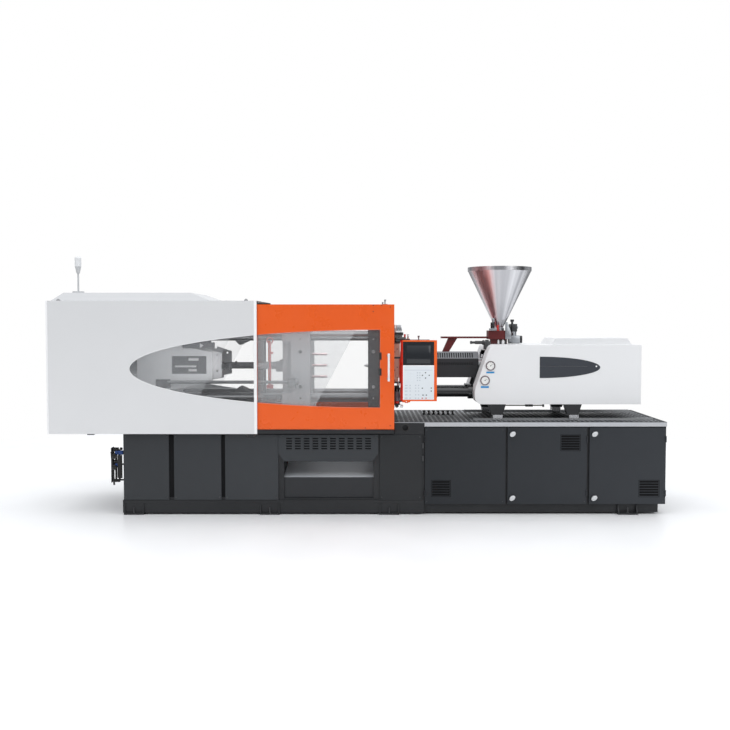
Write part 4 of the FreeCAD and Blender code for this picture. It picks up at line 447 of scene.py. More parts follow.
bedPaint = placedPaint("bedPanelPaint", (0.013, 0.0145, 0.0165), (0.03, 0.0335, 0.038), bedMask)
cabinetPaint = placedPaint("cabinetPaint", (0.011, 0.0135, 0.017), (0.024, 0.0275, 0.033), cabinetMask,
                           specular=0.36)
# dark front plate; the slope behind it is light grey, partly its own colour, partly painted light against its
# shadow
chuteLitSlopePaint = placedPaint("chutePaintLitSlope", (0.018, 0.0195, 0.0225), (0.56, 0.585, 0.615),
                         stepMask("Y", "chuteFront"))
shroudPaint = placedPaint("shroudPaint", (0.024, 0.0255, 0.029), (0.22, 0.23, 0.245),
                          stepMask("Z", "shoulder"), 0.35, 0.55)

finishes = {
    "bed_black": blackPaint, "deck_steel": deckSteel, "ground_steel": groundSteel,
    "bright_steel": brightSteel,
    "casting_grey": castGrey, "chromed_bar": chromeBar, "white_sheet": whitePaint, "orange_sheet": doorOrange,
    "clear_pane": doorGlass, "dark_pane": smokedGlass, "lamp_grey": lampGrey, "lamp_lens": lensGlass,
    "link_dark": linkCast, "shroud_grey": shroudPaint, "black_gloss": glossBlack, "purge_red": salmonPaintBrightened,
    "stainless": hopperSteel, "dark_red": darkRedPaint, "valve_grey": valveMetal, "screen_black": screenGlass,
    "button_red": redPaint}
nodeFinishes = {
    "cabinet_door_left": cabinetPaint, "cabinet_door_middle": cabinetPaint,
    "cabinet_door_right": cabinetPaint,
    "injection_bed": plinthPaint, "clamp_bed": plinthPaint, "feet": plinthPaint, "guard_windows": guardGlass,
    "panel_housing": panelOrange, "fixed_platen": fixedGrey, "rear_platen": cheekGreyLightened,
    "injection_housing": pedestalBlack, "clamp_cylinder": darkEnamel, "guard_frame": plinthPaint,
    "water_manifold": rubberBlack, "hinge_brackets": darkEnamel, "injection_drive": darkEnamel,
    "guard_roof": shadedRoofPaint, "cladding_panels": bedPaint, "drop_chute": chuteLitSlopePaint,
    "injection_cover": coverPaint,
    "ejector": ejectorSteel, "gauges": dialWhite, "stop_button": mauveEnamel, "safety_rod": chromeBar}


def dressNodes():
    slots = {part["node"]: part["material_slot"] for part in frame["record"]["subparts"]}
    for name, node in frame["nodes"].items():
        finish = nodeFinishes.get(name, finishes[slots[name]])
        if not node.material_slots:
            node.data.materials.append(finish)
        for slot in node.material_slots:
            slot.material = finish


dressNodes()
print("finishes on the CAD nodes")


# ---- modelling helpers ----

mergeDistance = 0.0005


def addBlock(bm, x0, x1, y0, y1, z0, z1, bevel=0.0, segments=2):
    centre = Matrix.Translation(((x0 + x1) / 2, (y0 + y1) / 2, (z0 + z1) / 2))
    size = Matrix.Diagonal((abs(x1 - x0), abs(y1 - y0), abs(z1 - z0), 1.0))
    verts = bmesh.ops.create_cube(bm, size=1.0, matrix=centre @ size)["verts"]
    if bevel:
        edges = list(dict.fromkeys(edge for vert in verts for edge in vert.link_edges))
        bmesh.ops.bevel(bm, geom=edges, offset=bevel, affect="EDGES", segments=segments, profile=0.5,
                        material=-1)
    return verts


def addRod(bm, start, end, radius, tip=None, segments=24, bevel=0.0):
    start, end = Vector(start), Vector(end)
    aim = (end - start).to_track_quat("Z", "Y").to_matrix().to_4x4()
    place = Matrix.Translation((start + end) / 2) @ aim
    tip = radius if tip is None else tip
    made = bmesh.ops.create_cone(bm, cap_ends=True, segments=segments, radius1=radius, radius2=tip,
                                 depth=(end - start).length, matrix=place)
    if bevel:
        edges = list(dict.fromkeys(
            edge for vert in made["verts"] for edge in vert.link_edges
            if len(edge.link_faces) == 2 and any(len(face.verts) > 4 for face in edge.link_faces)))
        bmesh.ops.bevel(bm, geom=edges, offset=bevel, affect="EDGES", segments=2, profile=0.5, material=-1)
    return made["verts"]


def addTurned(bm, centre, axis, profile, steps=32):
    start = [bm.verts.new(Vector((radius, 0.0, along))) for radius, along in profile]
    edges = [bm.edges.new(pair) for pair in zip(start, start[1:])]
    bmesh.ops.spin(bm, geom=start + edges, cent=(0, 0, 0), axis=(0, 0, 1), angle=math.tau, steps=steps,
                   use_merge=True, use_duplicate=False)
    reach = dict.fromkeys(face for vert in start for face in vert.link_faces)
    edge = list(reach)
    while edge:
        near = dict.fromkeys(face for old in edge for side in old.edges for face in side.link_faces)
        edge = [face for face in near if face not in reach]
        reach.update(dict.fromkeys(edge))
    verts = list(dict.fromkeys(vert for face in reach for vert in face.verts))
    bmesh.ops.remove_doubles(bm, verts=verts, dist=mergeDistance)
    verts = [vert for vert in verts if vert.is_valid]
    aim = Vector(axis).to_track_quat("Z", "Y").to_matrix().to_4x4()
    bmesh.ops.transform(bm, matrix=Matrix.Translation(centre) @ aim, verts=verts)
    faces = dict.fromkeys(face for vert in verts for face in vert.link_faces)
    bmesh.ops.recalc_face_normals(bm, faces=list(faces))
    return verts


def addScrew(bm, base, radius, toward, proud=4.0):
    profile = [(0.0, proud * 0.45), (radius * 0.5, proud * 0.45), (radius * 0.5, proud),
               (radius * 0.88, proud),
               (radius, proud * 0.75), (radius, 0.0)]
    return addTurned(bm, base, toward, profile, steps=12)


def placeMesh(name, mesh, finish, body, smoothAngle):
    mesh.shade_smooth()
    mesh.set_sharp_from_angle(angle=math.radians(smoothAngle))
    mesh.materials.append(finish)
    piece = bpy.data.objects.new(name, mesh)
    bpy.context.scene.collection.objects.link(piece)
    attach(piece, body)
    return piece


def addRing(name, points, radius, finish, body):
    curve = bpy.data.curves.new(name, "CURVE")
    curve.dimensions = "3D"
    curve.bevel_depth = radius / 1000
    curve.bevel_resolution = 2
    spline = curve.splines.new("POLY")
    spline.points.add(len(points) - 1)
    for point, place in zip(spline.points, points):
        point.co = (place[0] / 1000, place[1] / 1000, place[2] / 1000, 1.0)
    spline.use_cyclic_u = True
    source = bpy.data.objects.new(name + "Path", curve)
    bpy.context.scene.collection.objects.link(source)
    bpy.context.view_layer.update()
    mesh = bpy.data.meshes.new_from_object(source.evaluated_get(bpy.context.evaluated_depsgraph_get()))
    bpy.data.objects.remove(source)
    mesh.name = name
    mesh.materials.clear()
    return placeMesh(name, mesh, finish, body, 50.0)


def newPiece(name, bm, finish, body, smoothAngle=35.0):
    bmesh.ops.scale(bm, vec=(0.001, 0.001, 0.001), verts=bm.verts)
    mesh = bpy.data.meshes.new(name)
    bm.to_mesh(mesh)
    bm.free()
    return placeMesh(name, mesh, finish, body, smoothAngle)


def addShape(bm, kind, values):
    if kind == "box":
        addBlock(bm, *values)
    elif kind == "rod":
        *place, radius = values[:4]
        start, end = zip(*(value if isinstance(value, tuple) else (value, value) for value in place))
        addRod(bm, start, end, radius, segments=20, bevel=values[4] if len(values) > 4 else 1.0)
    elif kind == "screw":
        addScrew(bm, *values)
    elif kind == "turned":
        addTurned(bm, *values)
    else:
        centre, radius = values
        bmesh.ops.create_uvsphere(bm, u_segments=20, v_segments=12, radius=radius,
                                  matrix=Matrix.Translation(centre))


def pieceFrom(name, shapes, finish, body):
    bm = bmesh.new()
    for kind, *values in shapes:
        addShape(bm, kind, values)
    return newPiece(name, bm, finish, body)


def bladeRows(count, low, pitch, places, bottom, top, bevel=0.0):
    return [("box", *places, low + row * pitch + bottom, low + row * pitch + top, bevel)
            for row in range(count)]


def outward(side, near, far):
    return sorted((side * near, side * far))


# ---- guards and doors ----

windowShape = {"centreX": 186.0, "centreZ": 1253.5, "long": 2123.0, "short": 332.0, "steps": 40,
               "fullLeft": -3000.0}


def windowRim(x0, x1, shrink=0.0):
    long = windowShape["long"] - shrink
    short = windowShape["short"] - shrink
    tip = windowShape["centreX"] - long
    left = max(x0, tip)
    rim = []
    for step in range(windowShape["steps"] + 1):
        share = step / windowShape["steps"]
        x = left + (x1 - left) * share ** (2.0 if x0 <= tip else 1.0)
        reach = (x - windowShape["centreX"]) / long
        rim.append((x, short * math.sqrt(max(0.0, 1.0 - reach * reach))))
    upper = [(x, windowShape["centreZ"] + half) for x, half in rim]
    lower = [(x, windowShape["centreZ"] - half) for x, half in reversed(rim)]
    return upper + lower[:-1] if x0 <= tip else upper + lower


guardTrim = {"lip": 26.0, "proud": 1.4, "rubber": 2.6, "screwRadius": 5.5, "inset": 26.0, "endLip": 14.0,
             "screwX": (guardLow.x + 60, guardLow.x + 620, guardLow.x + 1180, guardHigh.x - 90)}


def buildGuardTrim():
    for side, tag in sides:
        face = side * -guardLow.y
        ends = outward(side, -guardLow.y, -guardLow.y + guardTrim["proud"])
        low, high = guardLow.z + 1, guardHigh.z - 1
        # end lips and window rim take the bright white: painted highlight along the guard edges
        lips = [("box", guardHigh.x - guardTrim["lip"] + 2, guardHigh.x - 1, *ends, low, high, 0.6),
                ("box", guardLow.x + 1, guardLow.x + guardTrim["endLip"], *ends, low, high, 0.6)]
        pieceFrom(tag + "GuardLip", lips, whiteAndHighlightPaint, "base")
        rim = windowRim(windowShape["fullLeft"], guardHigh.x - guardTrim["lip"] + 1, shrink=1.5)
        addRing(tag + "GuardRim", [(x, face - side * 1.0, z) for x, z in rim], guardTrim["rubber"], whiteAndHighlightPaint,
                "base")
        screws = [("screw", (x, face, guardLow.z + guardTrim["inset"]), guardTrim["screwRadius"],
                   (0, side, 0), 2.5)
                  for x in guardTrim["screwX"]]
        pieceFrom(tag + "GuardScrews", screws, whitePaint, "base")


gripShape = {"left": -957.0, "right": -872.0, "low": 664.0, "high": 690.0, "face": 550.0, "wall": 3.5}


def buildFingerGrip():
    middle = (gripShape["low"] + gripShape["high"]) / 2
    radius = (gripShape["high"] - gripShape["low"]) / 2
    inner = radius - gripShape["wall"]
    profile = [(radius, 0.0), (radius, 2.0), (inner, 2.0), (inner, 0.4), (0.0, 0.4)]
    left, right = gripShape["left"] + radius, gripShape["right"] - radius
    for side, tag in sides:
        shapes = [("turned", (end, side * gripShape["face"], middle), (0, side, 0), profile)
                  for end in (left, right)]
        for z in (gripShape["low"], gripShape["high"] - gripShape["wall"]):
            shapes.append(("box", left, right, *outward(side, gripShape["face"], gripShape["face"] + 2.0), z,
                           z + gripShape["wall"]))
        pieceFrom(tag + "FingerGrip", shapes, glossBlack, "base")


clipPlaces = {"left": -2300.0, "right": -2245.0, "drop": 9.0, "deep": 60.0}


def buildGuardClips():
    shapes = []
    low = guardLow.z - clipPlaces["drop"]
    for side in (-1, 1):
        face = -guardLow.y - 4
        ends = outward(side, face, face - clipPlaces["deep"])
        shapes.append(("box", clipPlaces["left"], clipPlaces["right"], *ends, low, guardLow.z, 1.5))
        for x in (clipPlaces["left"] + 12, clipPlaces["right"] - 12):
            shapes.append(("screw", (x, side * (face - clipPlaces["deep"] / 2), low), 5, (0, 0, -1), 3))
    pieceFrom("guardClips", shapes, darkEnamel, "base")


roofTrim = {"screws": 6, "screwPitch": 290.0, "screwY": 575.0, "eyeX": (-2540.0, -950.0), "eyeY": 560.0}


def buildRoofTrim():
    top = guardHigh.z
    screws = [("screw", (guardLow.x + 70 + index * roofTrim["screwPitch"], side * roofTrim["screwY"], top), 6,
               (0, 0, 1), 3) for side in (-1, 1) for index in range(roofTrim["screws"])]
    pieceFrom("roofScrews", screws, whitePaint, "base")
    bosses = []
    for side in (-1, 1):
        for x in roofTrim["eyeX"]:
            y = side * roofTrim["eyeY"]
            bosses.append(("rod", x, y, (top, top + 10), 16, 1.5))
            bosses.append(("turned", (x, y, top + 10), (0, 0, 1), [(0, 8), (6, 8), (9, 5), (9, 0)], 6))
    pieceFrom("liftingBosses", bosses, boltSteel, "base")


endVent = {"left": -300.0, "right": 300.0, "low": 1180.0, "high": 1560.0, "rows": 14,
           "screwY": (-560, -190, 190, 560)}


def buildEndVent():
    face = guardLow.x
    pitch = (endVent["high"] - endVent["low"]) / endVent["rows"]
    places = (face + 0.5, face + 5, endVent["left"], endVent["right"])
    blades = bladeRows(endVent["rows"], endVent["low"], pitch, places, 3, pitch - 9, 1.5)
    pieceFrom("endVentBlades", blades, whitePaint, "base")
    screws = [("screw", (face + 3.6, y, z), 6, (-1, 0, 0), 3.4) for y in endVent["screwY"]
              for z in (guardLow.z + 40, guardHigh.z - 60)]
    pieceFrom("endScrews", screws, whitePaint, "base")


doorTrim = {"face": 590.0, "seal": 2.2, "pinX": 227.0, "pinTop": 1840.0, "screwRadius": 4.0, "handleX": 258.0,
            "screws": ((128.0, 1738.0), (128.0, 1790.0), (272.0, 1775.0), (200.0, 1790.0), (272.0, 770.0),
                       (60.0, 750.0)),
            "rose": [(8.0, 5.0), (14.0, 5.0), (15.0, 3.5), (15.0, 0.0)], "handleZ": (1168.0, 1367.0),
            "stopZ": (1195.0, 1330.0), "stopHigh": 62}


def buildDoorPin(tag, side, body):
    bm = bmesh.new()
    x, top, y = doorTrim["pinX"], doorTrim["pinTop"], side * (doorTrim["face"] - 14)
    addRod(bm, (x, y, doorHigh.z - 2), (x, y, top - 14), 5)
    addRod(bm, (x, y, top - 16), (x + 3, y, top), 8, bevel=1.5)
    addBlock(bm, x - 22, x + 22, *outward(side, doorTrim["face"] - 4, doorTrim["face"] - 24), doorHigh.z,
             doorHigh.z + 4, bevel=1)
    newPiece(tag + "DoorPin", bm, boltSteel, body)


def buildDoorTrim():
    for side, tag in sides:
        face = side * doorTrim["face"]
        body = tag + "_door"
        rim = windowRim(guardHigh.x, windowShape["centreX"], shrink=1.0)
        addRing(tag + "DoorRim", [(x, face, z) for x, z in rim], doorTrim["seal"], doorOrange, body)
        screws = [("screw", (x, face, z), doorTrim["screwRadius"], (0, side, 0), 2.2)
                  for x, z in doorTrim["screws"]]
        pieceFrom(tag + "DoorScrews", screws, darkEnamel, body)
        buildDoorPin(tag, side, body)
        roses = [("turned", (doorTrim["handleX"], face, z), (0, side, 0), doorTrim["rose"], 24)
                 for z in doorTrim["handleZ"]]
        pieceFrom(tag + "HandleRoses", roses, brightSteel, body)
        stops = [("box", windowShape["centreX"] - 6, windowShape["centreX"] + 12,
                  *outward(side, doorTrim["face"] - 2, doorTrim["face"] + 3), z, z + doorTrim["stopHigh"], 2)
                 for z in doorTrim["stopZ"]]
        pieceFrom(tag + "DoorStops", stops, rubberBlack, body)


buildGuardTrim()
buildFingerGrip()
buildGuardClips()
buildRoofTrim()
buildEndVent()
buildDoorTrim()
print("guards and doors")


# ---- beds and cabinets ----

bedTrim = {"face": 550.0, "screwRadius": 6.0, "inset": 16.0, "screwZ": (150.0, 670.0), "studRadius": 5.5,
           "studTop": 62.0, "nutRadius": 7.98, "studX": (-1921.0, -757.0, 266.0, 2309.0), "studY": 555.0,
           "coverX": (-660.0, -255.0, 150.0), "coverFace": 554.0, "coverZ": 672.0, "gap": (541.0, 546.5),
           "band": (546.0, 547.6, 96.0, 122.0), "bands": ((-2010.0, -640.0), (136.0, 560.0))}
frontPanels = ((-2007.0, -1618.0), (-1575.0, -1171.0), (-1138.0, -684.0), (186.0, 543.0))


def buildBedScrews():
    for side, tag in sides:
        spots = [(x, side * bedTrim["face"], z) for x0, x1 in frontPanels
                 for x in (x0 + bedTrim["inset"], x1 - bedTrim["inset"]) for z in bedTrim["screwZ"]]
        spots += [(x, side * bedTrim["coverFace"], bedTrim["coverZ"]) for x in bedTrim["coverX"]]
        screws = [("screw", spot, bedTrim["screwRadius"], (0, side, 0), 3) for spot in spots]
        pieceFrom(tag + "PanelScrews", screws, darkEnamel, "base")


def buildPanelGapShade():
    for side, tag in sides:
        # black strips in the gaps between panels: painted shade
        gaps = [("box", left[1] + 1, right[0] - 1, *outward(side, *bedTrim["gap"]), 150, 688, 0.8)
                for left, right in zip(frontPanels[:2], frontPanels[1:3])]
        pieceFrom(tag + "PanelGapShade", gaps, ventShadeBlack, "base")


def buildFootStuds():
    bm = bmesh.new()
    for x in bedTrim["studX"]:
        for side in (-1, 1):
            y = side * bedTrim["studY"]
            addRod(bm, (x, y, 15.0), (x, y, bedTrim["studTop"]), bedTrim["studRadius"], segments=16,
                   bevel=0.8)
            addRod(bm, (x, y, 15.0), (x, y, 24.0), bedTrim["nutRadius"], segments=6, bevel=0.8)
    newPiece("footStuds", bm, darkEnamel, "base")


def buildSkidBand():
    near, far, low, high = bedTrim["band"]
    strips = [("box", x0, x1, *outward(side, near, far), low, high, 0.7) for side in (-1, 1)
              for x0, x1 in bedTrim["bands"]]
    pieceFrom("skidBand", strips, plinthPaint, "base")


louvreShape = {"left": -616.0, "pitchX": 75.0, "wide": 50.0, "low": 562.0, "pitchZ": 21.7, "high": 12.0,
               "columns": 10, "rows": 5, "face": 545.0, "deep": 8.0, "play": 0.5}


def buildLouvreBacks():
    play = louvreShape["play"]
    for side, tag in sides:
        ends = outward(side, louvreShape["face"], louvreShape["face"] + louvreShape["deep"])
        # near-black boxes in the louvre slots: painted shade in the openings
        blades = []
        for column in range(louvreShape["columns"]):
            left = louvreShape["left"] + column * louvreShape["pitchX"]
            places = (left + play, left + louvreShape["wide"] - play, *ends)
            blades += bladeRows(louvreShape["rows"], louvreShape["low"], louvreShape["pitchZ"], places, play,
                                louvreShape["high"] - play)
        pieceFrom(tag + "LouvreBlades", blades, ventShadeBlack, "base")


grommet = {"place": (402.0, 549.0, 748.0),
           "profile": [(25.0, -14.0), (25.0, 1.5), (30.0, 3.5), (35.0, 1.5), (35.0, 0.0), (30.5, -0.5),
                       (30.5, -14.0),
                       (25.0, -14.0)]}


def buildGrommet():
    x, y, z = grommet["place"]
    for side, tag in sides:
        shapes = [("turned", (x, side * y, z), (0, side, 0), grommet["profile"])]
        pieceFrom(tag + "Grommet", shapes, rubberBlack, "base")


sideHinges = {"heights": ((571.0, 614.0), (460.0, 506.0)), "leaf": (546.0, 561.0, -552.0, -540.0),
              "pin": (553.5, -551.0)}


def buildGapHinges():
    bm = bmesh.new()
    x, y = sideHinges["pin"]
    for low, high in sideHinges["heights"]:
        addBlock(bm, *sideHinges["leaf"], low, high, bevel=2)
        addRod(bm, (x, y, low + 4), (x, y, high - 4), 3.6, segments=16, bevel=0.8)
    newPiece("gapHinges", bm, darkEnamel, "base")


cabinetDoors = {
    "cabinet_door_left": {"vent": (632.0, 159.0, 153.0, 132.0), "hingeScrews": True},
    "cabinet_door_middle": {"vent": (1735.0, 554.0, 158.0, 129.0), "hingeScrews": False},
    "cabinet_door_right": {"vent": (2408.0, 157.0, 164.0, 136.0), "hingeScrews": False}}
cabinetTrim = {"face": -550.0, "rows": 6, "inset": 22, "screwRadius": 4.5}


def buildCabinetDoors():
    face = cabinetTrim["face"]
    for node, door in cabinetDoors.items():
        left, bottom, width, height = door["vent"]
        right, top = left + width, bottom + height
        pitch = height / cabinetTrim["rows"]
        places = (left + 1, right - 1, face - 0.8, face + 1.5)
        # near-black blades, real blades darkened with painted shade; the sheet behind them is painted shade
        # only
        shapes = bladeRows(cabinetTrim["rows"], bottom + pitch - 5.0, pitch, places, -13.0, 4.0, 0.5)
        shapes.append(("box", left + 1, right - 1, face + 14.0, face + 16.0, bottom + 1, top - 1, 0.5))
        for x0, x1 in ((left - 7, left - 4), (right + 4, right + 7)):
            shapes.append(("box", x0, x1, face - 1.2, face + 0.5, bottom - 6, top + 6, 0.5))
        for z0, z1 in ((bottom - 6, bottom - 3), (top + 3, top + 6)):
            shapes.append(("box", left - 7, right + 7, face - 1.2, face + 0.5, z0, z1, 0.5))
        pieceFrom(node + "_vent", shapes, ventShadeBlack, node)
        low, high = span(node)
        inset = cabinetTrim["inset"]
        columns = (low.x + inset, high.x - inset) if door["hingeScrews"] else (high.x - inset,)
        screws = [("screw", (x, face, z), cabinetTrim["screwRadius"], (0, -1, 0), 2) for x in columns
                  for z in (low.z + inset, high.z - inset)]
        pieceFrom(node + "_screws", screws, darkEnamel, node)


treads = {"pitch": 42.0, "long": 15.0, "wide": 4.2, "rise": 1.8, "edges": 50, "first": 45}


def buildDeckTreads():
    bm = bmesh.new()
    base = bmesh.new()
    bmesh.ops.create_cone(base, cap_ends=False, segments=6, radius1=1.0, radius2=0.55, depth=1.0)
    upper = [edge for edge in base.edges if all(vert.co.z > 0 for vert in edge.verts)]
    bmesh.ops.contextual_create(base, geom=upper)
    lozenge = bpy.data.meshes.new("lozenge")
    base.to_mesh(lozenge)
    base.free()
    pitch = treads["pitch"]
    columns = int((deckHigh.x - deckLow.x - treads["edges"]) / pitch)
    rows = int((deckHigh.y - deckLow.y - treads["edges"]) / pitch)
    for column in range(columns):
        for row in range(rows):
            x = deckLow.x + treads["first"] + column * pitch
            y = deckLow.y + treads["first"] + row * pitch
            lean = math.radians(45 if (column + row) % 2 else -45)
            place = Matrix.Translation((x, y, deckHigh.z + treads["rise"] / 2 - 0.1))
            shape = Matrix.Diagonal((treads["long"], treads["wide"], treads["rise"], 1.0))
            before = len(bm.verts)
            bm.from_mesh(lozenge)
            bm.verts.ensure_lookup_table()
            bmesh.ops.transform(bm, matrix=place @ Matrix.Rotation(lean, 4, "Z") @ shape,
                                verts=bm.verts[before:])
    bpy.data.meshes.remove(lozenge)
    newPiece("deckTreads", bm, treadSteel, "base", smoothAngle=20)


lockKnob = {"long": 27.0, "wide": 19.0, "lean": 38.0, "sink": 1.0,
            "profile": [(0.0, 16.0), (0.6, 16.0), (0.86, 14.4), (1.0, 11.0), (1.0, 1.0), (0.94, 0.0)]}


def buildLockKnobs():
    stretch = Matrix.Diagonal((lockKnob["long"], lockKnob["wide"], 1.0, 1.0))
    stand = Matrix.Rotation(math.radians(90), 4, "X")
    lean = Matrix.Rotation(math.radians(-lockKnob["lean"]), 4, "Y")
    for node in ("lock_middle_lower", "lock_middle_upper", "lock_right_lower", "lock_right_upper"):
        low, high = span(node)
        bm = bmesh.new()
        verts = addTurned(bm, (0, 0, 0), (0, 0, 1), lockKnob["profile"], steps=36)
        place = Matrix.Translation(((low.x + high.x) / 2, low.y + lockKnob["sink"], (low.z + high.z) / 2))
        bmesh.ops.transform(bm, matrix=place @ lean @ stand @ stretch, verts=verts)
        newPiece(node + "Knob", bm, knobSilver, node)


hosePosts = {"first": 601.0, "pitch": 44.0, "count": 7, "y": 90.0,
             "stack": ((0, 12, 15, 6, 1), (12, 31, 8, 16, 1), (29, 43, 13, 16, 2))}


def buildHosePosts():
    bm = bmesh.new()
    y, z = hosePosts["y"], deckHigh.z
    for index in range(hosePosts["count"]):
        x = hosePosts["first"] + index * hosePosts["pitch"]
        for low, high, radius, segments, bevel in hosePosts["stack"]:
            addRod(bm, (x, y, z + low), (x, y, z + high), radius, segments=segments, bevel=bevel)
    newPiece("deckFittings", bm, glossBlack, "base")


rearParts = {
    "plate": (1290.0, 1900.0, 548.0, 566.0, 180.0, 660.0, 5), "screwX": (1320.0, 1870.0),
    "screwZ": (210.0, 630.0),
    "slot": (1420.0, 1780.0, 564.0, 570.0), "slotLow": 240.0, "slotPitch": 22, "slots": 10, "slotHigh": 10,
    "glandX": (700.0, 780.0, 860.0), "gland": [(26, 0), (26, 10), (20, 12), (20, 34), (13, 34), (13, 12),
                                               (0, 12)],
    "portX": (2100.0, 2200.0),
    "port": [(34, 0), (34, 8), (24, 10), (24, 40), (28, 42), (28, 54), (18, 54), (18, 20), (0, 20)]}


def buildRearServices():
    pieceFrom("rearAccessPlate", [("box", *rearParts["plate"])], cabinetPaint, "base")
    face = rearParts["plate"][3]
    shapes = [("screw", (x, face, z), 7, (0, 1, 0), 4) for x in rearParts["screwX"]
              for z in rearParts["screwZ"]]
    shapes += bladeRows(rearParts["slots"], rearParts["slotLow"], rearParts["slotPitch"], rearParts["slot"],
                        0,
                        rearParts["slotHigh"], 2)
    pieceFrom("rearAccessVents", shapes, plinthPaint, "base")
    face = rearParts["plate"][2]
    glands = [("turned", (x, face, 250.0), (0, 1, 0), rearParts["gland"], 24) for x in rearParts["glandX"]]
    pieceFrom("rearCableGlands", glands, rubberBlack, "base")
    ports = [("turned", (x, face, 300.0), (0, 1, 0), rearParts["port"], 24) for x in rearParts["portX"]]
    pieceFrom("oilPorts", ports, boltSteel, "base")


treadSteel = brushed("treadSteel", (0.42, 0.43, 0.44), (0.2, 0.205, 0.21), (30.0, 30.0, 30.0), 0.3, 0.5)

buildBedScrews()
buildPanelGapShade()
buildFootStuds()
buildSkidBand()
buildLouvreBacks()
buildGrommet()
buildGapHinges()
buildCabinetDoors()
buildDeckTreads()
buildHosePosts()
buildLockKnobs()
buildRearServices()
print("beds and cabinets")


# ---- clamp seen through the guard window ----

clampBits = {"left": -1628.0, "right": -1328.0, "low": 1197.0, "high": 1351.0, "floor": 327.0, "inset": 14,
             "bars": ((-1484.0, -1396.0, 1312.0, 1333.0), (-1602.0, -1417.0, 1254.0, 1269.0),
                      (-1484.0, -1413.0, 1218.0, 1237.0))}


def buildCheekRecessShades():
    left, right, low, high = (clampBits[name] for name in ("left", "right", "low", "high"))
    floor, inset = clampBits["floor"], clampBits["inset"]
    for side, tag in sides:
        # dark plate over the recess: painted shade; the white bars stand for the slots seen through to the
        # white backdrop: painted light
        plate = [("box", left, right, *outward(side, floor, floor + 2.0), low, high, 0.6)]
        plate += [("screw", (x, side * (floor + 2.0), z), 5.0, (0, side, 0))
                  for x in (left + inset, right - inset)
                  for z in (low + inset, high - inset)]
        bars = [("box", x0, x1, *outward(side, floor + 2.0, floor + 8.0), z0, z1, 1.2)
                for x0, x1, z0, z1 in clampBits["bars"]]
        pieceFrom(tag + "CheekRecessShade", plate, slateEnamel, "rear_platen")
        pieceFrom(tag + "CheekSlotLight", bars, whiteAndHighlightPaint, "rear_platen")


clampFittings = {
    "cheekLugs": (slateEnamel, "link_dark", [
        ("box", -1767, -1640, -359, -347, 1075, 1150, 3), ("box", -1530, -1250, -359, -346, 1420, 1472, 3),
        ("box", -1420, -1280, -357, -346, 1472, 1497, 3), ("box", -1138, -1110, -330, -300, 1231, 1285, 2),
        ("rod", (-1138, -1150), -315, 1258, 7)]),
    "proximitySwitches": (darkEnamel, "bed_black", [
        ("rod", (-1150, -1176), -318, 1258, 5), ("box", -1196, -1170, -326, -308, 1235, 1282, 2),
        ("rod", (-1110, -1040), -318, 1270, 4), ("ball", (-1040, -318, 1270), 9),
        ("ball", (-1070, -318, 1300), 9), ("rod", -1070, -318, (1270, 1300), 3.5)]),
    # white triangle for the hole in the lug: painted light of the backdrop seen through it
    "cheekHoleLight": (whiteAndHighlightPaint, "white_sheet", [
        ("turned", (-1367, -358.5, 1444), (0, -1, 0), [(0.0, 2.5), (22.0, 2.5), (22.0, 0.0)], 3)])}


def buildPieces(pieces, body):
    for name, (finish, slot, shapes) in pieces.items():
        pieceFrom(name, shapes, finish, body)


tieNuts = {"y": 290, "inset": 25, "radius": 11.0, "proud": 9.0}


def buildTieNuts():
    x = rearLow.x - 2
    screws = [("screw", (x, side * tieNuts["y"], z), tieNuts["radius"], (-1, 0, 0), tieNuts["proud"])
              for side in (-1, 1) for z in (rearHigh.z - tieNuts["inset"], rearLow.z + tieNuts["inset"])]
    pieceFrom("rearPlatenBolts", screws, boltSteel, "rear_platen")


buildCheekRecessShades()
buildPieces(clampFittings, "rear_platen")
buildTieNuts()
print("clamp fittings")


# ---- mould space seen through the door window ----

mouldBits = {"face": 370.0, "bolts": ((1085.0, 15.0, 10.0), (1390.0, 15.0, 10.0), (985.0, 8.0, 6.0),
                                      (1500.0, 8.0, 6.0)),
             "holeY": (-210, -140, 140, 210), "holeZ": (-200, -130, 130, 200),
             "hole": [(0.0, 0.4), (9.0, 0.4), (11.5, 1.4), (13.0, 1.0), (13.5, 0.0)]}
platens = (("moving", "moving_platen", -505.0, darkEnamel, "bed_black", -421.0, 1),
           ("fixed", "base", fixedLow.x + 45, boltSteel, "bright_steel", fixedLow.x, -1))


def buildPlatenBolts():
    for tag, body, x, finish, slot, *_ in platens:
        screws = [("screw", (x, side * mouldBits["face"], z), radius, (0, side, 0), proud)
                  for side in (-1, 1) for z, radius, proud in mouldBits["bolts"]]
        pieceFrom(tag + "PlatenBolts", screws, finish, body)


def buildClampingHoles():
    for tag, body, *_, face, aim in platens:
        holes = [("turned", (face, y, axisHeight + z), (aim, 0, 0), mouldBits["hole"], 16)
                 for y in mouldBits["holeY"] for z in mouldBits["holeZ"]]
        pieceFrom(tag + "ClampHoles", holes, boltSteel, body)


lubricator = {
    "plungerColumn": (fadedRed, "dark_red", [
        ("rod", -770, -354, (1100, 1462), 10), ("box", -800, -742, -368, -340, 1070, 1104, 3),
        ("rod", (-770, -742), -354, 1380, 8), ("rod", -770, -354, (1240, 1252), 14)]),
    "plungerRing": (fadedRed, "dark_red", [
        ("turned", (-770, -346, 1488), (0, -1, 0),
         [(20, 0.0), (30, 0.0), (31, 8.0), (30, 16.0), (20, 16.0), (19, 8.0), (20, 0.0)])]),
    "lubricatorBody": (darkEnamel, "bed_black", [
        ("rod", (-832, -640), -300, 985, 26), ("rod", (-640, -620), -300, 985, 18),
        ("rod", (-850, -832), -300, 985, 14), ("box", -720, -690, -330, -270, 955, 1015, 3)])}

buildPlatenBolts()
buildClampingHoles()
buildPieces(lubricator, "moving_platen")
print("mould space fittings")


# ---- operator panel ----

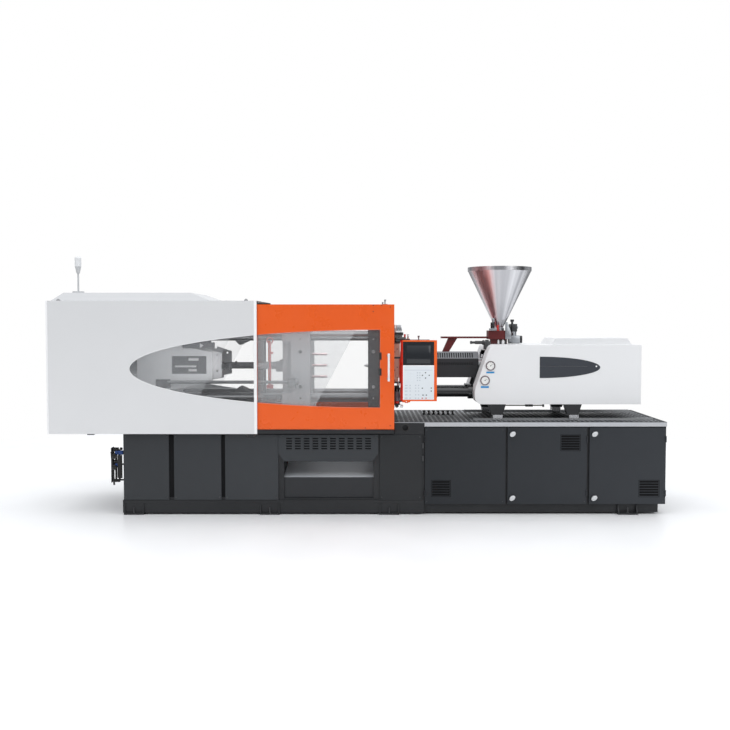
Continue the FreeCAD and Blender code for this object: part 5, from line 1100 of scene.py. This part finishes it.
keyRows = (1222, 1201, 1180, 1158)
lowRows = (1116, 1093, 1068, 1036, 1008)
keypad = {"left": 378.0, "right": 640.0, "low": 995.0, "high": 1285.5, "proud": 1.2, "line": 8.0,
          "thick": 1.0,
          "fine": 0.4, "rule": (392, 628, 1243, 1246)}
keyGroups = {
    "whiteKeys": (keyGrey, "white_sheet", (13, 11), [(x, z) for x in (431, 454, 479) for z in keyRows]),
    "greyKeys": (keyDim, "casting_grey", (9, 8), [(x, z) for x in (400, 411, 438, 485, 510) for z in lowRows]
                 + [(x, z) for x in (500, 520) for z in keyRows]),
    "darkKeys": (keyDark, "screen_black", (10, 9), [
        (568, 1223), (542, 1201), (599, 1201), (568, 1178), (541, 1092), (616, 1093), (616, 1068),
        (547, 1034),
        (575, 1034)]),
    "redKeys": (redPaint, "button_red", (11, 8), [(541, 1008), (573, 1008)])}
displayFrame = {"left": 409.0, "right": 609.0, "low": 1301.0, "high": 1452.0, "proud": 1.0}


def buildKeypad():
    face = panelLow.y
    skin = face - keypad["proud"]
    left, right, low, high = (keypad[name] for name in ("left", "right", "low", "high"))
    film = [("box", left, right, skin, face, low, high, 0.4)]
    rim = [("box", left, right, skin - 0.5, skin, high - keypad["line"], high, 0.2),
           ("box", left, left + 7, skin - 0.5, skin, low, high - keypad["line"], 0.2)]
    pieceFrom("keypadFilm", film, keyPlate, "operator_panel")
    pieceFrom("keypadRim", rim, whiteAndHighlightPaint, "operator_panel")
    for name, (finish, slot, (wide, high), spots) in keyGroups.items():
        shapes = [("box", x - wide / 2, x + wide / 2, skin - keypad["thick"], skin, z - high / 2,
                   z + high / 2,
                   keypad["fine"], 1) for x, z in spots]
        if name == "greyKeys":
            x0, x1, z0, z1 = keypad["rule"]
            shapes.append(("box", x0, x1, skin - 0.4, skin, z0, z1, 0.15, 1))
        pieceFrom(name, shapes, finish, "operator_panel")


def buildDisplay():
    face = screenLow.y
    pane = [("box", displayFrame["left"], displayFrame["right"], face - displayFrame["proud"], face,
             displayFrame["low"], displayFrame["high"], 0.4)]
    pieceFrom("displayPane", pane, displayGlass, "operator_panel")
    near, far, middle = (panelLow.y + depth for depth in (3, 20, 12))
    latches = [("box", 372, 404, near, far, 972, 982, 1.5), ("box", 412, 440, near, far, 972, 982, 1.5),
               ("rod", (394, 424), middle, 970, 4)]
    pieceFrom("panelLatches", latches, panelOrange, "operator_panel")


buildKeypad()
buildDisplay()
print("operator panel")


# ---- fittings beside the door ----

postFittings = {
    "postValves": (brightSteel, "bright_steel", [
        ("rod", 424, -528, (1498, 1544), 7), ("rod", 424, -528, (1540, 1546), 9),
        ("box", 318, 372, -537, -519, 1560, 1626, 3), ("rod", 342, -528, (1108, 1133), 12),
        ("rod", (358, 381), -528, 934, 14), ("rod", (372, 384), -528, 934, 9)]),
    "postCylinders": (glossBlack, "black_gloss", [
        ("rod", (311, 406), -528, 1498, 24, 3), ("ball", (434, -528, 1500), 8),
        ("rod", (406, 428), -528, 1498, 10), ("box", 311, 384, -540, -516, 1536, 1562, 3),
        ("rod", 332, -528, (1058, 1108), 20, 3), ("rod", 330, (-542, -514), 934, 16, 3)]),
    "postRegulator": (mauveEnamel, "link_dark", [
        ("rod", 332, -528, (975, 1058), 22, 4), ("rod", 332, -528, (1010, 1020), 25, 1)]),
    "postCaps": (redPaint, "button_red", [
        ("rod", 397, -528, (1520, 1546), 8), ("rod", 332, -528, (955, 975), 19, 2)]),
    "postBrackets": (darkEnamel, "bed_black", [
        ("box", 300, 312, -540, -514, 1470, 1626, 2), ("box", 296, 310, -540, -514, 915, 1110, 2)])}
purgeTrim = {"screwZ": (20, 110), "flangeLow": 1152, "flangeHigh": 1463}


def buildPurgeScrews():
    low, high = span("purge_guard")
    near, far = purgeTrim["screwZ"]
    screws = []
    for z in (low.z + near, low.z + far, high.z - far, high.z - near):
        screws.append(("screw", (low.x + 16, low.y, z), 4.0, (0, -1, 0), 3.0))
        screws.append(("screw", (high.x - 10, low.y, z + 26), 4.0, (0, -1, 0), 3.0))
    pieceFrom("purgeScrews", screws, darkEnamel, "purge_guard")
    ends = purgeTrim["flangeLow"], purgeTrim["flangeHigh"], 1
    flange = [("box", high.x - 2, high.x + 13, low.y, low.y + 4, *ends),
              ("box", high.x + 9, high.x + 13, low.y, low.y + 30, *ends)]
    pieceFrom("purgeFlange", flange, salmonPaintBrightened, "purge_guard")


buildPieces(postFittings, "base")
buildPurgeScrews()
print("door side fittings")


# ---- injection unit ----

gaugeLook = {"centres": ((1147.0, 1269.0), (1100.0, 1142.0)), "radius": 43.0, "bar": (70.0, 15.0),
             "barDrop": 8,
             "ring": [(33.0, 0.0), (33.0, 2.2), (37.0, 3.0), (41.5, 2.2), (42.2, 0.0)], "needleTurn": 35,
             "needle": 26,
             "hub": [(0.0, 2.0), (3.2, 2.0), (4.0, 0.0)], "marks": 9, "firstMark": -45, "markPitch": 33.75,
             "markFrom": 27, "markTo": 33, "lean": 0.105 / 127}
gaugeLow = span("gauges")[0]


def buildGauges():
    face = gaugeLow.y
    needles = bmesh.new()
    rings, bars = [], []
    for x, z in gaugeLook["centres"]:
        rings.append(("turned", (x, face, z), (0, -1, 0), gaugeLook["ring"]))
        turn = math.radians(gaugeLook["needleTurn"])
        tip = (x + math.cos(turn) * gaugeLook["needle"], face - 1.4, z + math.sin(turn) * gaugeLook["needle"])
        addRod(needles, (x, face - 1.4, z), tip, 1.6, tip=0.6, segments=8)
        addTurned(needles, (x, face, z), (0, -1, 0), gaugeLook["hub"], 12)
        centre = Vector((x, face - 0.6, z))
        for step in range(gaugeLook["marks"]):
            angle = math.radians(gaugeLook["firstMark"] + step * gaugeLook["markPitch"])
            spot = Vector((math.cos(angle), 0.0, math.sin(angle)))
            addRod(needles, spot * gaugeLook["markFrom"] + centre, spot * gaugeLook["markTo"] + centre, 0.9,
                   segments=6)
        wide, high = gaugeLook["bar"]
        top = z - gaugeLook["radius"] - gaugeLook["barDrop"]
        lean = gaugeLook["lean"] * (z - gaugeLook["centres"][1][1])
        bars.append(("box", x - wide / 2 + lean, x + wide / 2, coverLow.y - 1.4, coverLow.y + 3, top - high,
                     top, 0.6))
    pieceFrom("gaugeRings", rings, mauveEnamel, "carriage")
    newPiece("gaugeNeedles", needles, rubberBlack, "carriage")
    pieceFrom("gaugeBars", bars, labelBlue, "carriage")


coverMark = {"left": 1582.0, "right": 1990.0, "height": 1264.0, "dot": 2068.0, "radius": 7.0}


def buildCoverWindowMarks():
    z, dot = coverMark["height"], coverMark["dot"]
    for name, side in (("coverWindow", -1), ("rearCoverWindow", 1)):
        face = -span("cover_windows")[0].y
        ends = outward(side, face - 1.0, face + 0.8)
        line = [("box", coverMark["left"], coverMark["right"], *ends, z - 1.2, z + 1.2, 0.3)]
        pieceFrom(name + "Marks", line, slateEnamel, "carriage")
        # small white disc at the window's right end: painted highlight, no lamp
        light = [("rod", dot, (side * (face - 1), side * (face + 2.5)), z, coverMark["radius"])]
        pieceFrom(name + "Lights", light, whiteAndHighlightPaint, "carriage")


strokeScale = {"strokeScale": (glossBlack, "black_gloss", [
    ("rod", (1275, 1620), -330, 920, 5), ("rod", (1462, 1528), -330, 920, 12, 3),
    ("box", 1268, 1282, -340, -320, 905, 935, 2), ("box", 1612, 1626, -340, -320, 905, 935, 2),
    ("rod", 1275, -330, (930, 968), 5), ("rod", 1619, -330, (930, 968), 5)])}
pullBands = {"y": 150.0, "height": 1024, "bands": ((690, 700), (1130, 1142)), "radius": 59.0, "bolts": 6,
             "boltX": 675, "boltRing": 50, "boltRadius": 6.0}


def buildPullBands():
    bands, z = bmesh.new(), pullBands["height"]
    ends = []
    for side in (-1, 1):
        y = side * pullBands["y"]
        for x0, x1 in pullBands["bands"]:
            addRod(bands, (x0, y, z), (x1, y, z), pullBands["radius"], segments=32, bevel=1.5)
        for turn in range(pullBands["bolts"]):
            angle = math.radians(60 * turn + 30)
            place = (pullBands["boltX"], y + math.cos(angle) * pullBands["boltRing"],
                     z + math.sin(angle) * pullBands["boltRing"])
            ends.append(("screw", place, pullBands["boltRadius"], (-1, 0, 0), 6.0))
    newPiece("pullCylinderBands", bands, darkEnamel, "carriage")
    pieceFrom("pullCylinderBolts", ends, boltSteel, "carriage")


valveParts = {
    "feedValveBody": (darkEnamel, "bed_black", [
        ("box", 1119, 1174, -179, -111, 1404, 1478, 6), ("rod", 1146, -145, (1470, 1490), 17, 2),
        ("rod", (1106, 1124), -145, 1466, 22, 2)]),
    "feedValveStem": (darkEnamel, "bed_black", [
        ("rod", (1040, 1110), -145, 1466, 15, 2), ("rod", (1012, 1040), -145, 1466, 11, 2),
        ("rod", (996, 1014), -145, 1466, 14, 3)]),
    "hopperValveCaps": (glossBlack, "black_gloss", [
        ("rod", 1394, 10, (1650, 1672), 17, 4), ("box", 1366, 1386, -2, 22, 1561, 1631, 4),
        ("box", 1462, 1484, -16, 36, 1458, 1524, 4)]),
    "hopperValveBody": (darkEnamel, "bed_black", [
        ("box", 1388, 1437, -16, 36, 1561, 1631, 5), ("rod", 1394, 10, (1629, 1652), 10)])}
valveBase = [("rod", 1406, 10, (1525, 1562), 27, 4), ("box", 1358, 1464, -20, 40, 1454, 1527, 6),
             ("rod", (1437, 1446), 10, 1600, 12, 2)]
hopperStay = {"outline": [(1318, 1648), (1340, 1648), (1373, 1550), (1373, 1494), (1320, 1494)], "y": -82.0,
              "thick": 8, "bevel": 1.5}


def buildHopperStay():
    bm = bmesh.new()
    front = [bm.verts.new((x, hopperStay["y"], z)) for x, z in hopperStay["outline"]]
    made = bmesh.ops.extrude_face_region(bm, geom=[bm.faces.new(front)])
    moved = [item for item in made["geom"] if isinstance(item, bmesh.types.BMVert)]
    bmesh.ops.translate(bm, vec=(0, hopperStay["thick"], 0), verts=moved)
    bmesh.ops.recalc_face_normals(bm, faces=bm.faces)
    bmesh.ops.bevel(bm, geom=list(bm.edges), offset=hopperStay["bevel"], affect="EDGES", segments=2,
                    profile=0.5,
                    material=-1)
    newPiece("hopperStay", bm, valveMetal, "hopper")


hopperFittings = {
    "hopperKnob": (valveMetal, "valve_grey", [
        ("rod", 1212, -74, (1645, 1683), 13, 4), ("box", 1176, 1242, -94, -54, 1572, 1592, 3)]),
    "hopperMotor": (glossBlack, "black_gloss", [
        ("rod", 1206, -74, (1592, 1646), 19, 3), ("rod", 1206, -74, (1612, 1618), 20.5)]),
    "hopperFlag": (redPaint, "button_red", [
        ("box", 1245, 1260, -80, -68, 1575, 1622, 2), ("box", 1240, 1264, -86, -62, 1571, 1578, 1)])}
feedPosts = {"y": -52.0, "back": -44, "low": 1443, "foot": 1450, "rise": 1447, "neck": 1482, "top": 1489,
             "white": (whiteAndHighlightPaint, "white_sheet"), "black": (darkEnamel, "bed_black"),
             "row": ((1252, 1271, "white"), (1273, 1286, "black"), (1289, 1318, "white"),
                     (1320, 1332, "black"))}


def buildFeedPosts():
    y, neck = feedPosts["y"], feedPosts["neck"]
    for index, (x0, x1, tone) in enumerate(feedPosts["row"]):
        x, radius = (x0 + x1) / 2, (x1 - x0) / 2
        shapes = [("rod", x, y, (feedPosts["rise"], neck), radius, 2),
                  ("rod", x, y, (neck - 2, feedPosts["top"]), radius * 0.6, 1),
                  ("box", x0, x1, y - radius, feedPosts["back"], feedPosts["low"], feedPosts["foot"], 1)]
        finish, slot = feedPosts[tone]
        pieceFrom("feedPost" + str(index + 1), shapes, finish, "carriage")


hopperRim = {"inner": 5.0, "outer": 0.4, "drop": 10.2}


def buildHopperRim():
    radius = (hopperHigh.x - hopperLow.x) / 2
    inner, outer = radius - hopperRim["inner"], radius - hopperRim["outer"]
    centre = (hopperLow + hopperHigh) / 2
    ring = [("turned", (centre.x, centre.y, hopperHigh.z - hopperRim["drop"]), (0, 0, 1),
             [(inner, 0.0), (outer, 0.8), (outer, 9.0), (inner, 9.8)], 64)]
    pieceFrom("hopperRim", ring, rimSteel, "hopper")


# black sheets inside the shroud behind the slots: painted shade, so the slots read dark
shroudShadeSheet = {"inset": 7.0, "low": 1250.0, "shoulder": 1318.0, "top": 1374.0, "lean": 40.0}


def buildShroudShadeSheet():
    low, high = span("barrel_shroud")
    bm = bmesh.new()
    for side in (-1, 1):
        flank = side * (high.y - shroudShadeSheet["inset"])
        crest = flank - side * shroudShadeSheet["lean"]
        ends = []
        for x in (low.x + 6, high.x - 6):
            outline = ((flank, shroudShadeSheet["low"]), (flank, shroudShadeSheet["shoulder"]),
                       (crest, shroudShadeSheet["top"] - 6))
            ends.append([bm.verts.new((x, y, z)) for y, z in outline])
        sheet = [bm.faces.new((ends[0][i], ends[0][i + 1], ends[1][i + 1], ends[1][i])) for i in range(2)]
        bmesh.ops.solidify(bm, geom=sheet, thickness=1.5)
    bmesh.ops.recalc_face_normals(bm, faces=bm.faces)
    newPiece("shroudShadeSheet", bm, rubberBlack, "carriage")


shroudBracket = {"low": 1312, "crossTop": 1322, "top": 1372, "left": 1075, "right": 1140}


def buildShroudBracket():
    y = span("barrel_shroud")[0].y
    near, far = y - 6, y + 3
    low, top, left, right = (shroudBracket[name] for name in ("low", "top", "left", "right"))
    shapes = [("box", left, right, near, far, low, shroudBracket["crossTop"], 2),
              ("box", left, left + 10, near, far, low, top, 2),
              ("box", right - 12, right, near, far, low, top, 2),
              ("rod", 1107, (near, far), 1345, 14, 2)]
    pieceFrom("shroudBracket", shapes, brightSteel, "carriage")


railBolts = {"blocks": ((1167, 1249), (1828, 1910)), "inset": 18, "y": 385, "z": 823, "radius": 8.0,
             "proud": 5.0}


def buildRailScrews():
    screws = [("screw", (x, side * railBolts["y"], railBolts["z"]), railBolts["radius"], (0, side, 0),
               railBolts["proud"]) for low, high in railBolts["blocks"]
              for x in (low + railBolts["inset"], high - railBolts["inset"]) for side in (-1, 1)]
    pieceFrom("railBlockScrews", screws, boltSteel, "carriage")


buildGauges()
buildCoverWindowMarks()
buildPieces(strokeScale, "carriage")
buildPullBands()
buildPieces(valveParts, "carriage")
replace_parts(pieceFrom("hopperValveBase", valveBase, valveMetal, "carriage"), "valve_blocks")
buildHopperStay()
buildPieces(hopperFittings, "hopper")
buildFeedPosts()
buildHopperRim()
buildShroudShadeSheet()
buildShroudBracket()
buildRailScrews()
print("injection unit fittings")


# ---- water services ----

manifoldParts = {
    "manifoldBars": (rubberBlack, "black_gloss", [
        ("rod", (-2134, -2112), -460, (530, 240), 8, 2), ("box", -2081, -2040, -468, -454, 300, 500, 3),
        ("box", -2134, -2060, -466, -450, 266, 280, 2), ("rod", -2056, -430, (540, 562), 12, 3),
        ("rod", (-2120, -2084), -468, 490, 14, 3), ("rod", (-2120, -2084), -468, 393, 14, 3)]),
    "manifoldCouplings": (glossBlack, "black_gloss", [
        ("rod", -2111, (-469, -440), 490, 24, 3), ("rod", -2111, (-469, -440), 393, 24, 3)]),
    "manifoldValves": (bluePaint, "black_gloss", [
        ("box", -2108, -2038, -450, -416, 500, 536, 5), ("box", -2108, -2082, -450, -416, 390, 426, 5),
        ("rod", -2090, (-450, -460), 518, 10, 2)])}

buildPieces(manifoldParts, "base")
print("services")


# ---- floor, light and camera ----

studio = {"floor": 6.5, "horizon": 0.25, "zenith": 1.68, "keyPower": 70.0, "fillPower": 60.0,
          "topPower": 60.0,
          "backPower": 60.0}


def buildFloor():
    bm = bmesh.new()
    bmesh.ops.create_circle(bm, cap_ends=True, segments=96, radius=studio["floor"])
    mesh = bpy.data.meshes.new("studioFloor")
    bm.to_mesh(mesh)
    bm.free()
    floor = bpy.data.objects.new("studioFloor", mesh)
    bpy.context.scene.collection.objects.link(floor)
    material, tree, shader = startMaterial("studioFloor", roughness=0.34, colour=(0.96, 0.96, 0.96))
    grain = noiseNode(tree, objectPoint(tree), 1.5, 3.0)
    tree.links.new(spreadNode(tree, grain, 0.3, 0.7, 0.28, 0.36), shader.inputs["Roughness"])
    mesh.materials.append(material)


def buildWorld():
    world = bpy.data.worlds.new("studio")
    bpy.context.scene.world = world
    world.use_nodes = True
    tree = world.node_tree
    tree.nodes.clear()
    path = tree.nodes.new("ShaderNodeLightPath")
    seen = tree.nodes.new("ShaderNodeBackground")
    seen.inputs["Color"].default_value = (1.0, 1.0, 1.0, 1.0)
    glow = tree.nodes.new("ShaderNodeBackground")
    glow.inputs["Color"].default_value = (0.95, 0.97, 1.0, 1.0)
    split = tree.nodes.new("ShaderNodeSeparateXYZ")
    tree.links.new(tree.nodes.new("ShaderNodeTexCoord").outputs["Generated"], split.inputs[0])
    rise = spreadNode(tree, split.outputs["Z"], 0.0, 1.0, studio["horizon"], studio["zenith"])
    tree.links.new(rise, glow.inputs["Strength"])
    mix = tree.nodes.new("ShaderNodeMixShader")
    out = tree.nodes.new("ShaderNodeOutputWorld")
    tree.links.new(path.outputs["Is Camera Ray"], mix.inputs[0])
    tree.links.new(glow.outputs[0], mix.inputs[1])
    tree.links.new(seen.outputs[0], mix.inputs[2])
    tree.links.new(mix.outputs[0], out.inputs[0])


def addArea(name, place, target, size, power, colour=(1.0, 1.0, 1.0)):
    data = bpy.data.lights.new(name, "AREA")
    data.shape = "RECTANGLE"
    data.size, data.size_y = size
    data.energy = power
    data.color = colour
    lamp = bpy.data.objects.new(name, data)
    bpy.context.scene.collection.objects.link(lamp)
    lamp.location = place
    lamp.rotation_euler = (Vector(target) - Vector(place)).to_track_quat("-Z", "Y").to_euler()
    return lamp


def addFlag(name, place, turn, size):
    bm = bmesh.new()
    bmesh.ops.create_grid(bm, x_segments=1, y_segments=1, size=0.5)
    mesh = bpy.data.meshes.new(name)
    bm.to_mesh(mesh)
    bm.free()
    flag = bpy.data.objects.new(name, mesh)
    bpy.context.scene.collection.objects.link(flag)
    flag.location = place
    flag.rotation_euler = turn
    flag.scale = (*size, 1.0)
    mesh.materials.append(startMaterial(name, roughness=0.9, colour=(0.02, 0.02, 0.02))[0])
    flag.visible_camera = False
    flag.visible_diffuse = False
    flag.visible_shadow = False


def buildLights():
    addArea("keyLight", (-4.2, -6.5, 5.2), (-0.3, 0.0, 1.1), (4.0, 3.0), studio["keyPower"])
    addArea("fillLight", (5.0, -6.8, 3.2), (0.6, 0.0, 1.0), (3.5, 3.0), studio["fillPower"])
    addArea("topLight", (0.0, -0.5, 6.5), (0.0, 0.0, 0.0), (7.0, 5.0), studio["topPower"])
    addArea("backLight", (0.5, 6.5, 4.2), (0.0, 0.0, 1.0), (6.0, 3.0), studio["backPower"])
    addFlag("flagRight", (6.5, -1.5, 2.0), (0.0, math.radians(90), 0.0), (4.5, 3.0))
    addFlag("flagLeft", (-6.5, -1.5, 2.0), (0.0, math.radians(90), 0.0), (4.5, 3.0))


shot = {"place": (0.058, -8.625, 1.666), "pitch": 87.29, "lens": 46.85}


def buildCamera():
    data = bpy.data.cameras.new("camera")
    data.lens = shot["lens"]
    data.sensor_width = 36.0
    camera = bpy.data.objects.new("camera", data)
    bpy.context.scene.collection.objects.link(camera)
    camera.location = shot["place"]
    camera.rotation_euler = (math.radians(shot["pitch"]), 0.0, 0.0)
    bpy.context.scene.camera = camera
    bpy.context.scene.view_settings.view_transform = "Standard"


buildFloor()
buildWorld()
buildLights()
buildCamera()
